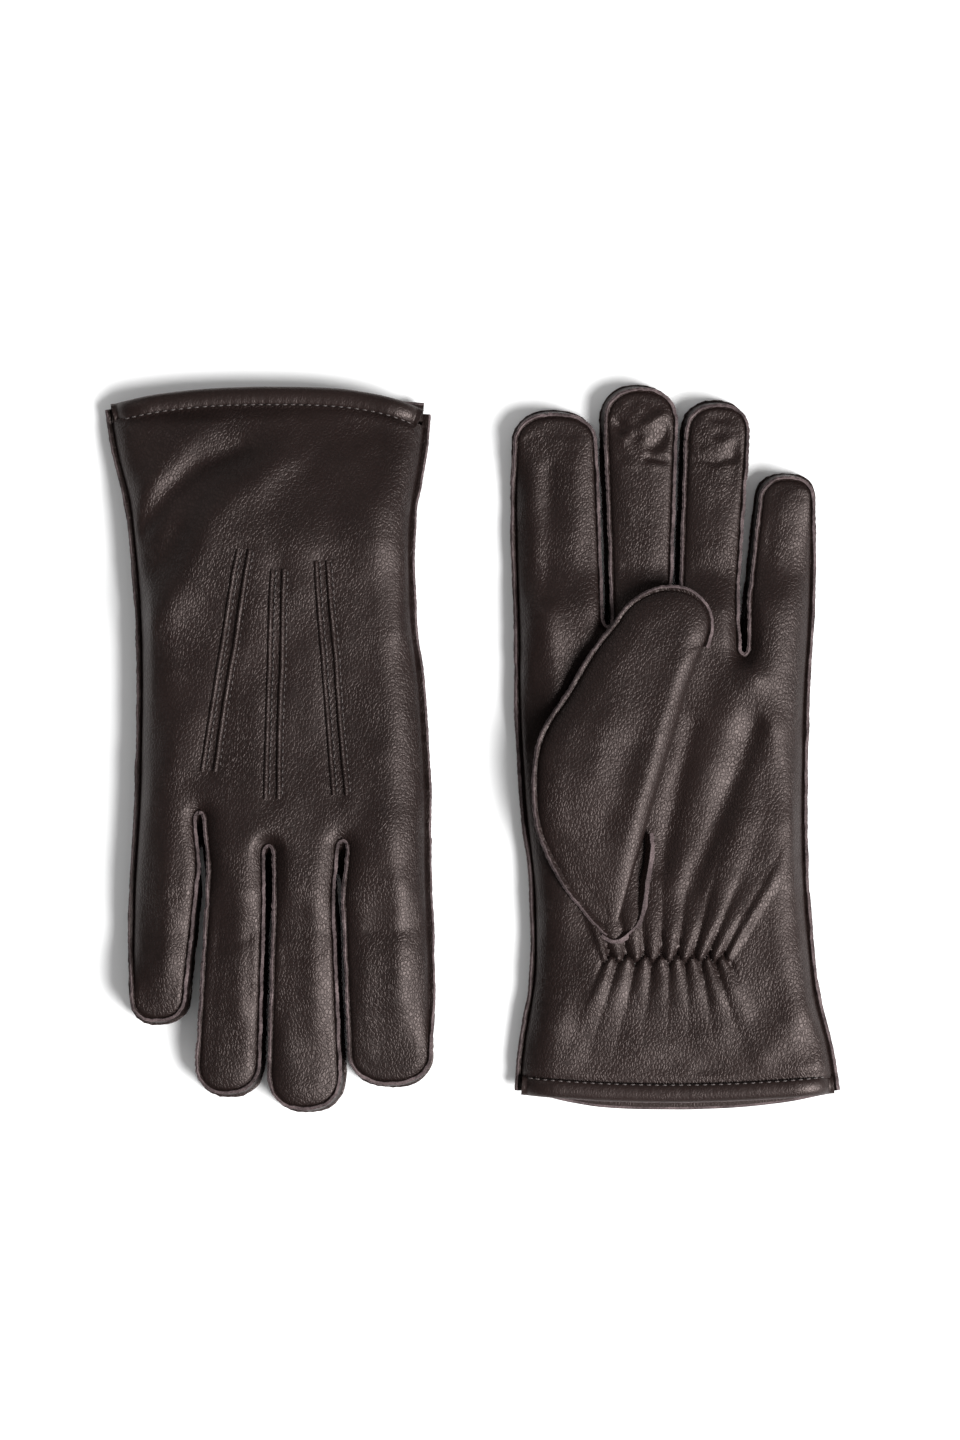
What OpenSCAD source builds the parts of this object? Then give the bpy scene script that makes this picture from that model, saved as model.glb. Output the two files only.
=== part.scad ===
// A pair of lined leather gloves lying flat side by side.
// The left-hand glove lies palm up with its fingers towards +Y and its thumb folded across the palm.
// The right-hand glove is its point mirror: back up, fingers towards -Y, thumb folded underneath.
// Every piece is drawn once in the left glove's own layout (x, v, w): v runs from the wrist opening
// to the fingertips and w rises from the back of the glove to its palm.
// Origin: centre of the pair, on the surface it lies on.

/* [Hand] */
// Width across the wrist opening, seams included
cuff_w = 111; // [96:0.5:135]
// Width at the narrowest place of the wrist
wrist_w = 96.5; // [80:0.5:116]
// Width across the palm
palm_w = 99; // [82:0.5:119]
// Length from the wrist opening to the crotches of the fingers
hand_len = 156; // [130:1:188]
// Gap between the palms of the two gloves
pair_gap = 29.6; // [24:0.2:40]
// Thickness of the hand as it lies
hand_h = 13.6; // [12.5:0.1:18]

/* [Fingers: index, middle, ring, little] */
// Widths at the crotch line
finger_base_w = [31.4, 20.8, 20.8, 24.4];
// Widths at the tips
finger_tip_w = [29.8, 25.8, 22, 19.3];
// Lengths from the crotch line to the tips
finger_len = [75.7, 84.2, 78.8, 54.4];
// Distance from the crotch line to the knuckle where the finger bends
knuckle_at = [25, 28, 25, 12];
// Length of the rounded tips
tip_round = [12, 13, 11.5, 9.6];
// Gap between neighbouring fingers at the crotch line
base_gap = 1.4; // [1:0.1:3]
// Gaps between neighbouring fingertips
tip_gaps = [1.4, 1.4, 4];
// Thickness of a finger as it lies
finger_h = 11; // [10.5:0.1:13]
// Open gap between hand and finger at a knuckle
fold_gap = 5; // [4.8:0.1:7]

/* [Thumb] */
// Length from the swing axis to the centre of the round tip
thumb_len = 79.5; // [66:0.5:96]
// Radius of the tip
thumb_tip_r = 12.8; // [10.6:0.1:15.4]
// Radius of the widest place of the thumb
thumb_base_r = 20.3; // [18:0.1:24]
// Radius of the heel of the thumb
thumb_heel_r = 13; // [11:0.1:15]
// Lean of the thumb across the palm, in degrees
thumb_lean = 16; // [8:0.5:20]
// Thickness of the thumb as it lies
thumb_h = 8.6; // [8.5:0.1:11]
// Radius of the round hole in the palm that the thumb is set in
thumb_hole_r = 15.5; // [13:0.1:17]

/* [Leather and lining] */
// Thickness of the leather
leather = 0.9; // [0.7:0.05:1.1]
// Thickness of the knitted lining
lining = 1; // [0.8:0.05:1.2]
// Gap between leather and lining
lining_gap = 0.1; // [0.05:0.05:0.2]
// How far the side seams stand out
flange = 2; // [1:0.1:3]
// How far the finger seams stand out over the side strips
seam_lip = 1.2; // [0.6:0.1:1.6]
// Gap between pieces that move against each other
clearance = 0.3; // [0.3:0.05:0.6]

/* [Details] */
// Depth of the turned hem round the wrist opening
hem_w = 6.5; // [5:0.1:9]
// Distance of the hem stitching from the opening
hem_stitch_at = 5; // [3:0.1:5.4]
// Width of a line of thread
thread_w = 1; // [0.6:0.1:1.4]
// Depth of a line of thread in the leather
thread_d = 0.45; // [0.2:0.05:0.5]
// Distance between the two threads of one point
point_pitch = 4.1; // [3:0.1:6]
// Width of the wrist elastic
elastic_w = 6; // [4:0.5:8]
// Length of the wrist elastic
elastic_len = 42; // [34:1:52]
// Thickness of the wrist elastic and of the touch pads
patch_t = 0.6; // [0.4:0.05:0.7]
// Width of a touch pad
pad_w = 14; // [11:0.5:16]
// Length of a touch pad
pad_len = 16; // [12:0.5:20]

/* [Hidden] */
left = 1;
right = -1;
index = 0;
little = 3;
finger_names = ["index", "middle", "ring", "little"];
sides = [left, right];
function side_name(side) = side == left ? "left" : "right";

// Places along v
crotch_v = 38;
crotch_depths = [0, 0, 10];
cuff_v = crotch_v - hand_len;
wrist_v = cuff_v + 56;
palm_v = cuff_v + 113;
hem_v = cuff_v + hem_w;
elastic_v = cuff_v + 47.4;
overrun = 2;

// Places along x
palm_x = pair_gap / 2 + palm_w / 2;
wrist_x = palm_x + 2.9;
cuff_x = palm_x + 5.1;
knuckle_x = palm_x + 0.1;
function sum(list, n) = n == 0 ? 0 : list[n - 1] + sum(list, n - 1);
knuckle_w = sum(finger_base_w, 4) + 3 * base_gap;
tip_start_x = knuckle_x - knuckle_w / 2 - 1;
function base_l(i) = knuckle_x - knuckle_w / 2 + sum(finger_base_w, i) + i * base_gap;
function base_r(i) = base_l(i) + finger_base_w[i];
function tip_l(i) = tip_start_x + sum(finger_tip_w, i) + sum(tip_gaps, i);
function tip_r(i) = tip_l(i) + finger_tip_w[i];

function mix(a, b, t) = a + (b - a) * t;
function ease(t) = t * t * (3 - 2 * t);
function clamp(t) = min(1, max(0, t));

// Each finger: its tip, its knuckle, and its straight edges
function tip_v(i) = crotch_v + finger_len[i];
function knuckle_v(i) = crotch_v + knuckle_at[i];
function along(i, v) = (v - crotch_v) / (finger_len[i] - tip_round[i]);
function finger_l(i, v) = mix(base_l(i), tip_l(i), along(i, v));
function finger_r(i, v) = mix(base_r(i), tip_r(i), along(i, v));

// The two outer edges of the hand, through four stations that ease into each other
stations = [
    [cuff_v, cuff_x, cuff_w], [wrist_v, wrist_x, wrist_w],
    [palm_v, palm_x, palm_w], [crotch_v, knuckle_x, knuckle_w]
];
edge_steps = 4;
edge_vs = concat(
    [for (k = [0:2]) for (j = [0:edge_steps - 1]) mix(stations[k][0], stations[k + 1][0], j / edge_steps)],
    [crotch_v]
);
function between(v, k, n) =
    mix(stations[k][n], stations[k + 1][n], ease(clamp((v - stations[k][0]) / (stations[k + 1][0] - stations[k][0]))));
function at_station(v, n) =
    v < wrist_v ? between(v, 0, n) : v < palm_v ? between(v, 1, n) : between(v, 2, n);
function hand_l(v) = v > crotch_v ? finger_l(index, v) : at_station(v, 1) - at_station(v, 2) / 2;
function hand_r(v) = v > crotch_v ? finger_r(little, v) : at_station(v, 1) + at_station(v, 2) / 2;

// How the gloves lie: thickness of the glove, and how high the right one arches over its thumb
arch_h = thumb_h + clearance;
thick_from = cuff_v + 49;
thick_to = crotch_v + 12;
thin_from = crotch_v + 20;
arch_from = cuff_v + 52;
arch_to = crotch_v + max(knuckle_at) + fold_gap / 2;
arch_end = arch_to + 46;
arch_steps = 4;
function thickness(v) =
    v < thick_from ? mix(finger_h, hand_h, ease(clamp((v - cuff_v) / (thick_from - cuff_v))))
    : mix(hand_h, finger_h, clamp((v - thick_to) / (thin_from - thick_to)));
function arch(v) =
    arch_h * (v < 0 ? ease(clamp((v - cuff_v) / (arch_from - cuff_v))) : 1 - ease(clamp((v - arch_to) / (arch_end - arch_to))));
lay_vs = concat(
    [for (j = [0:arch_steps - 1]) mix(cuff_v, thick_from, j / arch_steps)],
    [elastic_v - elastic_w / 2, thick_from, elastic_v + elastic_w / 2, arch_from, thick_to, thin_from],
    [for (j = [0:arch_steps]) mix(arch_to, arch_end, j / arch_steps)]
);

// A level is [share of the thickness, distance]: [0, d] from the back, [1, -d] from the palm
back_face = [0, 0];
palm_face = [1, 0];
mid = [0.5, 0];
function off_back(d) = [0, d];
function off_palm(d) = [1, -d];
function off_mid(d) = [0.5, d];
function height(side, v, level) =
    side == left ? level[0] * thickness(v) + level[1]
    : arch(v) + (1 - level[0]) * thickness(v) - level[1];

// Insets of the layers from the outline of the glove
shell_in = flange + leather;
lip_in = seam_lip + leather;
lining_out = leather + lining_gap;
lining_in = lining_out + lining;

// Outline of the hand with the roots of the fingers. side_in and strip_in inset the outer edges and
// the finger edges; grow lengthens both open ends.
function hand_points(side_in, strip_in, grow) = concat(
    [[hand_l(cuff_v) + side_in, cuff_v - grow]],
    [for (v = edge_vs) [hand_l(v) + side_in, v]],
    [for (i = [0:3]) for (p = finger_root(i, i == index ? side_in : strip_in, i == little ? side_in : strip_in, grow)) p],
    [for (k = [len(edge_vs) - 1:-1:0]) [hand_r(edge_vs[k]) - side_in, edge_vs[k]]],
    [[hand_r(cuff_v) - side_in, cuff_v - grow]]
);
function root_end(i) = knuckle_v(i) - fold_gap / 2;
function crotch_at(i) = crotch_v - crotch_depths[i];
function finger_root(i, in_l, in_r, grow) = concat(
    i == index ? [] : [[finger_l(i, crotch_at(i - 1)) + in_l, crotch_at(i - 1) - in_l]],
    [for (v = [root_end(i) + grow]) each [[finger_l(i, v) + in_l, v], [finger_r(i, v) - in_r, v]]],
    i == little ? [] : [[finger_r(i, crotch_at(i)) - in_r, crotch_at(i) - in_r]]
);

module hand_plan(side_in, strip_in, grow = 0) {
    polygon(hand_points(side_in, strip_in, grow));
}

// Strips along both outer edges of the hand, from one inset to another
module side_strips(from, to) {
    vs_l = concat(edge_vs, [root_end(index)]);
    vs_r = concat(edge_vs, [root_end(little)]);
    polygon(concat([for (v = vs_l) [hand_l(v) + from, v]],
        [for (k = [len(vs_l) - 1:-1:0]) [hand_l(vs_l[k]) + to, vs_l[k]]]));
    polygon(concat([for (v = vs_r) [hand_r(v) - from, v]],
        [for (k = [len(vs_r) - 1:-1:0]) [hand_r(vs_r[k]) - to, vs_r[k]]]));
}

// Outline of a finger beyond its knuckle, with a round tip
tip_steps = 10;
function finger_points(i, in_l, in_r, in_tip, grow) =
    let (v0 = knuckle_v(i) + fold_gap / 2, v1 = tip_v(i) - tip_round[i],
        l = finger_l(i, v1) + in_l, r = finger_r(i, v1) - in_r, rise = tip_round[i] - in_tip)
    concat([[finger_l(i, v0 - grow) + in_l, v0 - grow]],
        [for (k = [0:tip_steps]) let (a = 180 - 180 * k / tip_steps)
            [(l + r) / 2 + cos(a) * (r - l) / 2, v1 + sin(a) * rise]],
        [[finger_r(i, v0 - grow) - in_r, v0 - grow]]);
function tip_mid(i) = (tip_l(i) + tip_r(i)) / 2;

// outer is the inset at a side seam, strip the inset along a side strip
module finger_plan(i, outer, strip, tip, grow = 0) {
    polygon(finger_points(i, i == index ? outer : strip, i == little ? outer : strip, tip, grow));
}

// The half of a finger on the side of the hand's outer edge, or the other half
module finger_half(i, outer_half) {
    go_left = (i == index) == outer_half;
    v0 = crotch_v;
    v1 = tip_v(i) + overrun;
    reach = go_left ? -finger_base_w[i] : finger_base_w[i];
    base_mid = (finger_l(i, v0) + finger_r(i, v0)) / 2;
    polygon([[base_mid, v0], [tip_mid(i), v1], [tip_mid(i) + reach, v1], [base_mid + reach, v0]]);
}

// Wall of a finger between two insets
module finger_ring(i, outer, strip, tip, wall) {
    difference() {
        finger_plan(i, outer, strip, tip);
        finger_plan(i, outer + wall, strip + wall, tip + wall, overrun);
    }
}

// Turns a plan into a solid between two levels, laid as that glove lies
deep = 60;
wide = 400;
module laid(side, low, high, from = cuff_v, to = crotch_v + max(finger_len) + overrun) {
    vs = concat([from], [for (v = lay_vs) if (v > from + 0.01 && v < to - 0.01) v], [to]);
    intersection() {
        rotate([0, 0, side == left ? 0 : 180]) translate([0, 0, -deep / 2]) linear_extrude(deep) children();
        rotate([90, 0, 90]) linear_extrude(wide, center = true)
            polygon(concat([for (v = vs) [side * v, height(side, v, low)]],
                [for (k = [len(vs) - 1:-1:0]) [side * vs[k], height(side, vs[k], high)]]));
    }
}

// Turns a solid drawn in the left glove's layout to the given side
module turned(side) {
    if (side == left) children();
    else translate([0, 0, arch_h + hand_h]) mirror([0, 0, 1]) rotate([0, 0, 180]) children();
}

// ---- hand ----

leather_colour = "#3a2e2c";

// Three points: [start x, start v, end x, end v] from the middle of the palm
points = [[12.5, -66.8, 24.3, 7.7], [1, -60.2, 3, 16.8], [-13.6, -63, -19.9, 15.5]];
module point_lines(side, depth) {
    for (p = points) for (k = [-1, 1]) laid(side, back_face, off_back(depth))
        for (e = [k * point_pitch / 2])
            polygon([[palm_x + p[0] + e - thread_w / 2, p[1]], [palm_x + p[0] + e + thread_w / 2, p[1]],
                [palm_x + p[2] + e + thread_w / 2, p[3]], [palm_x + p[2] + e - thread_w / 2, p[3]]]);
}

module back_panel(side) {
    color(leather_colour) difference() {
        union() {
            laid(side, back_face, off_back(leather), hem_v) hand_plan(flange, 0);
            laid(side, off_back(leather), mid, hem_v) side_strips(flange, shell_in);
            laid(side, off_mid(-leather), mid, hem_v) side_strips(0, flange);
        }
        point_lines(side, thread_d);
    }
}

thumb_x = palm_x - 24;
thumb_v = cuff_v + 83.5;
module palm_panel(side) {
    color(leather_colour) difference() {
        union() {
            laid(side, off_palm(leather), palm_face, hem_v) hand_plan(flange, 0);
            laid(side, mid, off_palm(leather), hem_v) side_strips(flange, shell_in);
            laid(side, mid, off_mid(leather), hem_v) side_strips(0, flange);
        }
        thumb_hole(side);
    }
}

module thumb_hole(side) {
    turned(side) translate([thumb_x, thumb_v, hand_h / 2]) cylinder(hand_h, r = thumb_hole_r, $fn = 64);
}

// Strips between the fingers, each bent into a V at its crotch
module crotch_strips(side) {
    color(leather_colour) for (i = [0:2])
        laid(side, off_back(leather), off_palm(leather))
            polygon(concat(crotch_points(i, seam_lip), [for (k = [3:-1:0]) crotch_points(i, lip_in)[k]]));
}
function crotch_points(i, inset) = [
    [finger_r(i, root_end(i)) - inset, root_end(i)], [finger_r(i, crotch_at(i)) - inset, crotch_at(i) - inset],
    [finger_l(i + 1, crotch_at(i)) + inset, crotch_at(i) - inset],
    [finger_l(i + 1, root_end(i + 1)) + inset, root_end(i + 1)]
];

module hem_ring(side, from, to, depth) {
    difference() {
        laid(side, back_face, palm_face, from, to) hand_plan(flange, 0);
        laid(side, off_back(depth), off_palm(depth), from - overrun, to + overrun) hand_plan(flange + depth, 0, overrun * 2);
    }
}

module cuff_binding(side) {
    color(leather_colour) difference() {
        union() {
            hem_ring(side, cuff_v, hem_v, 2 * leather);
            laid(side, off_mid(-leather), off_mid(leather), cuff_v, hem_v) side_strips(0, flange);
        }
        hem_thread(side);
    }
}

module hem_thread(side) {
    at = cuff_v + hem_stitch_at;
    color("#241c1a") hem_ring(side, at - thread_w / 2, at + thread_w / 2, thread_d);
}

module point_threads(side) {
    color("#241c1a") point_lines(side, thread_d);
}

module elastic_place(side, depth, rise = 0) {
    laid(side, off_palm(lining_out + depth), off_palm(lining_out - rise),
        elastic_v - elastic_w / 2 - rise, elastic_v + elastic_w / 2 + rise)
        translate([wrist_x - 1.5 - elastic_len / 2 - rise, cuff_v]) square([elastic_len + 2 * rise, hand_len]);
}

module wrist_elastic(side) {
    color("#57504c") elastic_place(side, patch_t);
}

module hand_lining(side) {
    start = hem_v + lining_gap;
    color("#2b2625") difference() {
        laid(side, off_back(lining_out), off_palm(lining_out), start)
            hand_plan(flange + lining_out, seam_lip + lining_out);
        laid(side, off_back(lining_in), off_palm(lining_in), start - overrun)
            hand_plan(flange + lining_in, seam_lip + lining_in, overrun);
        elastic_place(side, patch_t + lining_gap, lining_gap);
        thumb_hole(side);
    }
}

// ---- fingers beyond the knuckle ----

function has_side_seam(i) = i == index || i == little;
module finger_shell(side, i, plate_low, plate_high, wall_low, wall_high, seam_low, seam_high) {
    color(leather_colour) {
        laid(side, plate_low, plate_high) finger_plan(i, flange, 0, 0);
        if (has_side_seam(i)) {
            laid(side, wall_low, wall_high) intersection() {
                finger_ring(i, flange, seam_lip, seam_lip, leather);
                finger_half(i, true);
            }
            laid(side, seam_low, seam_high) intersection() {
                difference() {
                    finger_plan(i, 0, 0, 0);
                    finger_plan(i, flange, seam_lip, seam_lip, overrun);
                }
                finger_half(i, true);
            }
        }
    }
}

module finger_back(side, i) {
    finger_shell(side, i, back_face, off_back(leather), off_back(leather), mid, off_mid(-leather), mid);
}

module finger_palm(side, i) {
    finger_shell(side, i, off_palm(leather), palm_face, mid, off_palm(leather), mid, off_mid(leather));
}

module finger_strips(side, i) {
    for (outer_half = has_side_seam(i) ? [false] : [false, true])
        color(leather_colour) laid(side, off_back(leather), off_palm(leather)) intersection() {
            finger_ring(i, flange, seam_lip, seam_lip, leather);
            finger_half(i, outer_half);
        }
}

module index_pad_place(side, depth, rise = 0) {
    end = tip_v(index) - tip_round[index];
    laid(side, off_palm(lining_out + depth), off_palm(lining_out - rise), end - pad_len - rise, end + rise)
        translate([tip_mid(index) - pad_w / 2 - rise, crotch_v]) square([pad_w + 2 * rise, finger_len[index]]);
}

module finger_lining(side, i) {
    color("#2b2625") difference() {
        laid(side, off_back(lining_out), off_palm(lining_out))
            finger_plan(i, flange + lining_out, seam_lip + lining_out, seam_lip + lining_out);
        laid(side, off_back(lining_in), off_palm(lining_in))
            finger_plan(i, flange + lining_in, seam_lip + lining_in, seam_lip + lining_in, overrun);
        if (i == index) index_pad_place(side, patch_t + lining_gap, lining_gap);
    }
}

module index_touch_pad(side) {
    color("#6b6561") index_pad_place(side, patch_t);
}

// ---- thumb ----

thumb_base = hand_h + clearance;
thumb_top = thumb_base + thumb_h;
thumb_tip_x = 3.5;
// Round the heel, the widest place and the tip, placed across and along the thumb from its swing axis
module thumb_outline(inset) {
    hull() for (c = [[9.4, -12.4, thumb_heel_r], [-5.5, 26, thumb_base_r], [thumb_tip_x, thumb_len, thumb_tip_r]])
        translate([c[0], c[1]]) circle(c[2] - inset, $fn = 32);
}
module thumb_layer(side, inset, low, high) {
    turned(side) translate([thumb_x, thumb_v, low]) rotate([0, 0, -thumb_lean])
        linear_extrude(high - low) thumb_outline(inset);
}

module thumb_collar(side, r, low, high) {
    turned(side) translate([thumb_x, thumb_v, low]) cylinder(high - low, r = r, $fn = 64);
}

collar_r = thumb_hole_r - clearance;
module thumb(side) {
    seam_z = thumb_base + thumb_h / 2;
    color(leather_colour) difference() {
        union() {
            thumb_layer(side, 0, thumb_base, thumb_top);
            thumb_collar(side, collar_r, hand_h - leather, thumb_base + leather);
            turned(side) translate([thumb_x, thumb_v, seam_z - leather]) rotate([0, 0, -thumb_lean])
                linear_extrude(2 * leather) difference() {
                    thumb_outline(-flange);
                    translate([thumb_base_r / 2, -thumb_len]) square([thumb_len, 2 * thumb_len]);
                }
        }
        thumb_layer(side, leather, thumb_base + leather, thumb_top - leather);
        thumb_collar(side, collar_r - leather, hand_h - 2 * leather, thumb_base + 2 * leather);
    }
}

module thumb_pad_place(side, depth, rise = 0) {
    turned(side) translate([thumb_x, thumb_v, thumb_top - lining_out - depth]) rotate([0, 0, -thumb_lean])
        translate([thumb_tip_x - pad_w / 2 - rise, thumb_len - pad_len + thumb_tip_r / 3 - rise])
            cube([pad_w + 2 * rise, pad_len + 2 * rise, depth + rise]);
}

module thumb_lining(side) {
    color("#2b2625") difference() {
        thumb_layer(side, lining_out, thumb_base + lining_out, thumb_top - lining_out);
        thumb_layer(side, lining_in, thumb_base + lining_in, thumb_top - lining_in);
        thumb_collar(side, collar_r - lining_in, hand_h, thumb_base + 2 * lining_in);
        thumb_pad_place(side, patch_t + lining_gap, lining_gap);
    }
}

module thumb_touch_pad(side) {
    color("#6b6561") thumb_pad_place(side, patch_t);
}

// ---- nodes ----

for (s = sides) {
    n = side_name(s);
    back_panel(s);
    palm_panel(s);
    crotch_strips(s);
    cuff_binding(s);
    hem_thread(s);
    point_threads(s);
    wrist_elastic(s);
    hand_lining(s);
    thumb(s);
    thumb_lining(s);
    index_touch_pad(s);
    thumb_touch_pad(s);
    for (i = [0:3]) {
        f = finger_names[i];
        finger_back(s, i);
        finger_palm(s, i);
        finger_strips(s, i);
        finger_lining(s, i);
    }
}
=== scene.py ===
import math

import bpy
import numpy as np
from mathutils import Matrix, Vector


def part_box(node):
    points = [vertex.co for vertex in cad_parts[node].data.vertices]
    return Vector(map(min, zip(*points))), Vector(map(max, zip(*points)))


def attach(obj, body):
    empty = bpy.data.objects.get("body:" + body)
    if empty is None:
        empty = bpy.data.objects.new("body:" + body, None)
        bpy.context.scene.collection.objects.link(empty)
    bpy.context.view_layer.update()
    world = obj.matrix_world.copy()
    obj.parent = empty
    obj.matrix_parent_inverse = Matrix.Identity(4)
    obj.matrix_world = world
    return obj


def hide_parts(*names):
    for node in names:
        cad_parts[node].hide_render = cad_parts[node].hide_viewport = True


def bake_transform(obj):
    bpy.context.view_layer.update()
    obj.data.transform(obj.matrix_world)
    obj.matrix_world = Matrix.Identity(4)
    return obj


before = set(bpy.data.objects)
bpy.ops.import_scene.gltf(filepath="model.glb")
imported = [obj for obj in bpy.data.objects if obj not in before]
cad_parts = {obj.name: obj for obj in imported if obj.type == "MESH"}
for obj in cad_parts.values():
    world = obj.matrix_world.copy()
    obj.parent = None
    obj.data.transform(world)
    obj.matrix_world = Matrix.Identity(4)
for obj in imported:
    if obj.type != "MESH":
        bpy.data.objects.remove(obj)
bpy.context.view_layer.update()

# A pair of lined leather gloves. Everything is worked out in millimetres in the left glove's layout:
# x across the hand from the thumb side, v from the wrist opening to the fingertips, z up from the table.
# The left glove lies palm up. The right glove is the same layout turned half round, back up.

MM = 0.001
TURN = {"left": 1.0, "right": -1.0}
FINGERS = ["index", "middle", "ring", "little"]
LEATHER = 0.9
THICK, THIN = 13.6, 11.0  # of an empty glove: over the palm, and at the cuff and the fingertips
CROWN = 0.3  # how far the upper leather swells above that
UNDERSIDE = 0.85  # height of the lower leather's outer face
TOP_DROP, LOW_RISE = 2.6, 2.1  # how far the two leathers fall and rise to the seams of a strip
ARCH = 8.9  # how much higher the right glove lies over its own folded thumb
FLANGE = 2.0  # width of the side seams
LIP = 1.6  # how far a finger seam stands outside its panel
HEM = 6.3  # depth of the turned hem
WEDGE = 30.0  # length of the thin end of a side strip on the outer fingers
CUFF_V = -116.0  # where the width of the cuff is taken
SEAM_CREASE, ROUND_CREASE, BAG_CREASE = 38, 60, 80  # edges sharper than this stay sharp, in degrees

# ---- numbers ----


def ease(t):
    t = np.clip(t, 0.0, 1.0)
    return t * t * (3 - 2 * t)


def mix(a, b, t):
    return a + (b - a) * t


def dome(t):
    """Rises steeply from 0 and levels out at 1, like the edge of a pillow."""
    t = np.clip(t, 0.0, 1.0)
    return np.sqrt(1 - (1 - t) ** 2)


def bell(t):
    return np.exp(-np.square(t))


def spline(points):
    """A smooth curve through (place, value) points."""
    t, y = (np.array(a, float) for a in zip(*points))
    h = np.diff(t)
    a, b = np.eye(len(t)), np.zeros(len(t))
    for k in range(1, len(t) - 1):
        a[k, k - 1 : k + 2] = h[k - 1], 2 * (h[k - 1] + h[k]), h[k]
        b[k] = 6 * ((y[k + 1] - y[k]) / h[k] - (y[k] - y[k - 1]) / h[k - 1])
    m = np.linalg.solve(a, b)

    def at(q):
        q = np.clip(np.asarray(q, float), t[0], t[-1])
        k = np.clip(np.searchsorted(t, q) - 1, 0, len(t) - 2)
        u, w, s = q - t[k], t[k + 1] - q, h[k]
        bend = (m[k] * w**3 + m[k + 1] * u**3) / (6 * s)
        return bend + (y[k] / s - m[k] * s / 6) * w + (y[k + 1] / s - m[k + 1] * s / 6) * u

    return at


def speck(ix, iy, seed):
    h = np.sin(ix * 12.9898 + iy * 78.233 + seed * 37.719) * 43758.5453
    return h - np.floor(h)


def ripple(x, y, size, seed=0):
    """Soft uneven bumps from -1 to 1, about size across."""
    gx, gy = np.asarray(x, float) / size, np.asarray(y, float) / size
    ix, iy = np.floor(gx), np.floor(gy)
    fx, fy = gx - ix, gy - iy
    fx = fx**3 * (fx * (fx * 6 - 15) + 10)
    fy = fy**3 * (fy * (fy * 6 - 15) + 10)
    low = mix(speck(ix, iy, seed), speck(ix + 1, iy, seed), fx)
    high = mix(speck(ix, iy + 1, seed), speck(ix + 1, iy + 1, seed), fx)
    return 2 * mix(low, high, fy) - 1


def unevenness(x, y, waves):
    """Soft bumps of several sizes: (height, size, seed) for each."""
    return sum(high * ripple(x, y, size, seed) for high, size, seed in waves)


def distance(x, v, path):
    """Distance in plan from every point to a path."""
    p = np.stack([np.ravel(x), np.ravel(v)], 1)
    a, d = path[:-1], np.diff(path, axis=0)
    size = (d**2).sum(1) + 1e-12
    out = np.empty(len(p))
    for k in range(0, len(p), 4000):
        q = p[k : k + 4000, None, :] - a[None]
        t = np.clip((q * d).sum(2) / size, 0, 1)
        out[k : k + 4000] = np.sqrt(((q - t[..., None] * d) ** 2).sum(2)).min(1)
    return out.reshape(np.shape(x))


def length_along(path):
    """Length along a path up to each of its points."""
    return np.concatenate([[0], np.cumsum(np.linalg.norm(np.diff(path, axis=0), axis=1))])


def between(t, s, rows):
    """The rows at length t, where s is the length at each row."""
    return np.stack([np.interp(t, s, rows[:, k]) for k in range(rows.shape[1])], -1)


def resample(path, step):
    """The same path with points evenly spaced along it."""
    path = np.asarray(path, float)
    s = length_along(path)
    keep = np.concatenate([[True], np.diff(s) > 1e-9])
    n = max(2, int(round(s[-1] / step)) + 1)
    return between(np.linspace(0, s[-1], n), s[keep], path[keep])


# ---- pattern of the glove ----

edge_left = spline(
    [(-122, 13.6), (-107, 14.4), (-94, 16.1), (-82, 18.2), (-57, 19), (-41, 18.2), (-24, 16.1), (-6, 14.8),
     (15, 13.7), (39, 13.6), (64, 12.7), (82, 12.4), (102, 12.8)]
)
edge_right = spline(
    [(-122, 125.6), (-110, 123.7), (-98, 121.5), (-86, 118.3), (-71, 116.1), (-49, 114.2), (-2, 113.7),
     (22, 114.4), (38, 115.4), (71, 116.4), (86, 116.2)]
)
TIP_V = [113.7, 122.2, 116.8, 92.4]
TIP_ROUND = [12.0, 13.0, 11.5, 9.6]
# Edges of the gaps between fingers: at the crotch line, and at the tips
GAP_BASE = [(45.0, 46.4), (67.2, 68.6), (89.4, 90.8)]
GAP_TIP = [(42.4, 43.8), (69.6, 71.0), (93.0, 97.0)]
BASE_V = 38.0
KNUCKLE_V = [63.0, 66.0, 63.0, 50.0]
KNUCKLE_REACH = 12.0  # how far the turn of a bent finger spreads on both sides
CROTCHES = {
    "palm": [(45.5, 40.3), (68.0, 39.0), (91.2, 31.1)],
    "back": [(43.7, 30.1), (68.5, 31.8), (91.6, 20.6)],
}


def cuff_line(kind, x):
    """Edge of the wrist opening: the back of the hand is cut a little longer than the palm."""
    k = (np.asarray(x, float) - 67) / 53
    if kind == "palm":
        return -119.3 + 2.7 * k**2
    return -122 + 5.3 * np.abs(k) ** 2.5 + 3.5 * np.maximum(0, -k) ** 4


def thickness(v):
    grow = mix(THIN, THICK, ease((v + 118) / 50))
    return np.where(v < 0, grow, mix(THICK, THIN, ease((v - 46) / 16)))


def lift(x, v):
    """How high the right glove arches over its own folded thumb."""
    rise = np.where(v < 0, ease((v + 118) / 52), 1 - ease((v - 66) / 48))
    return ARCH * rise * (1 - 0.45 * ease((x - 70) / 44))


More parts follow.
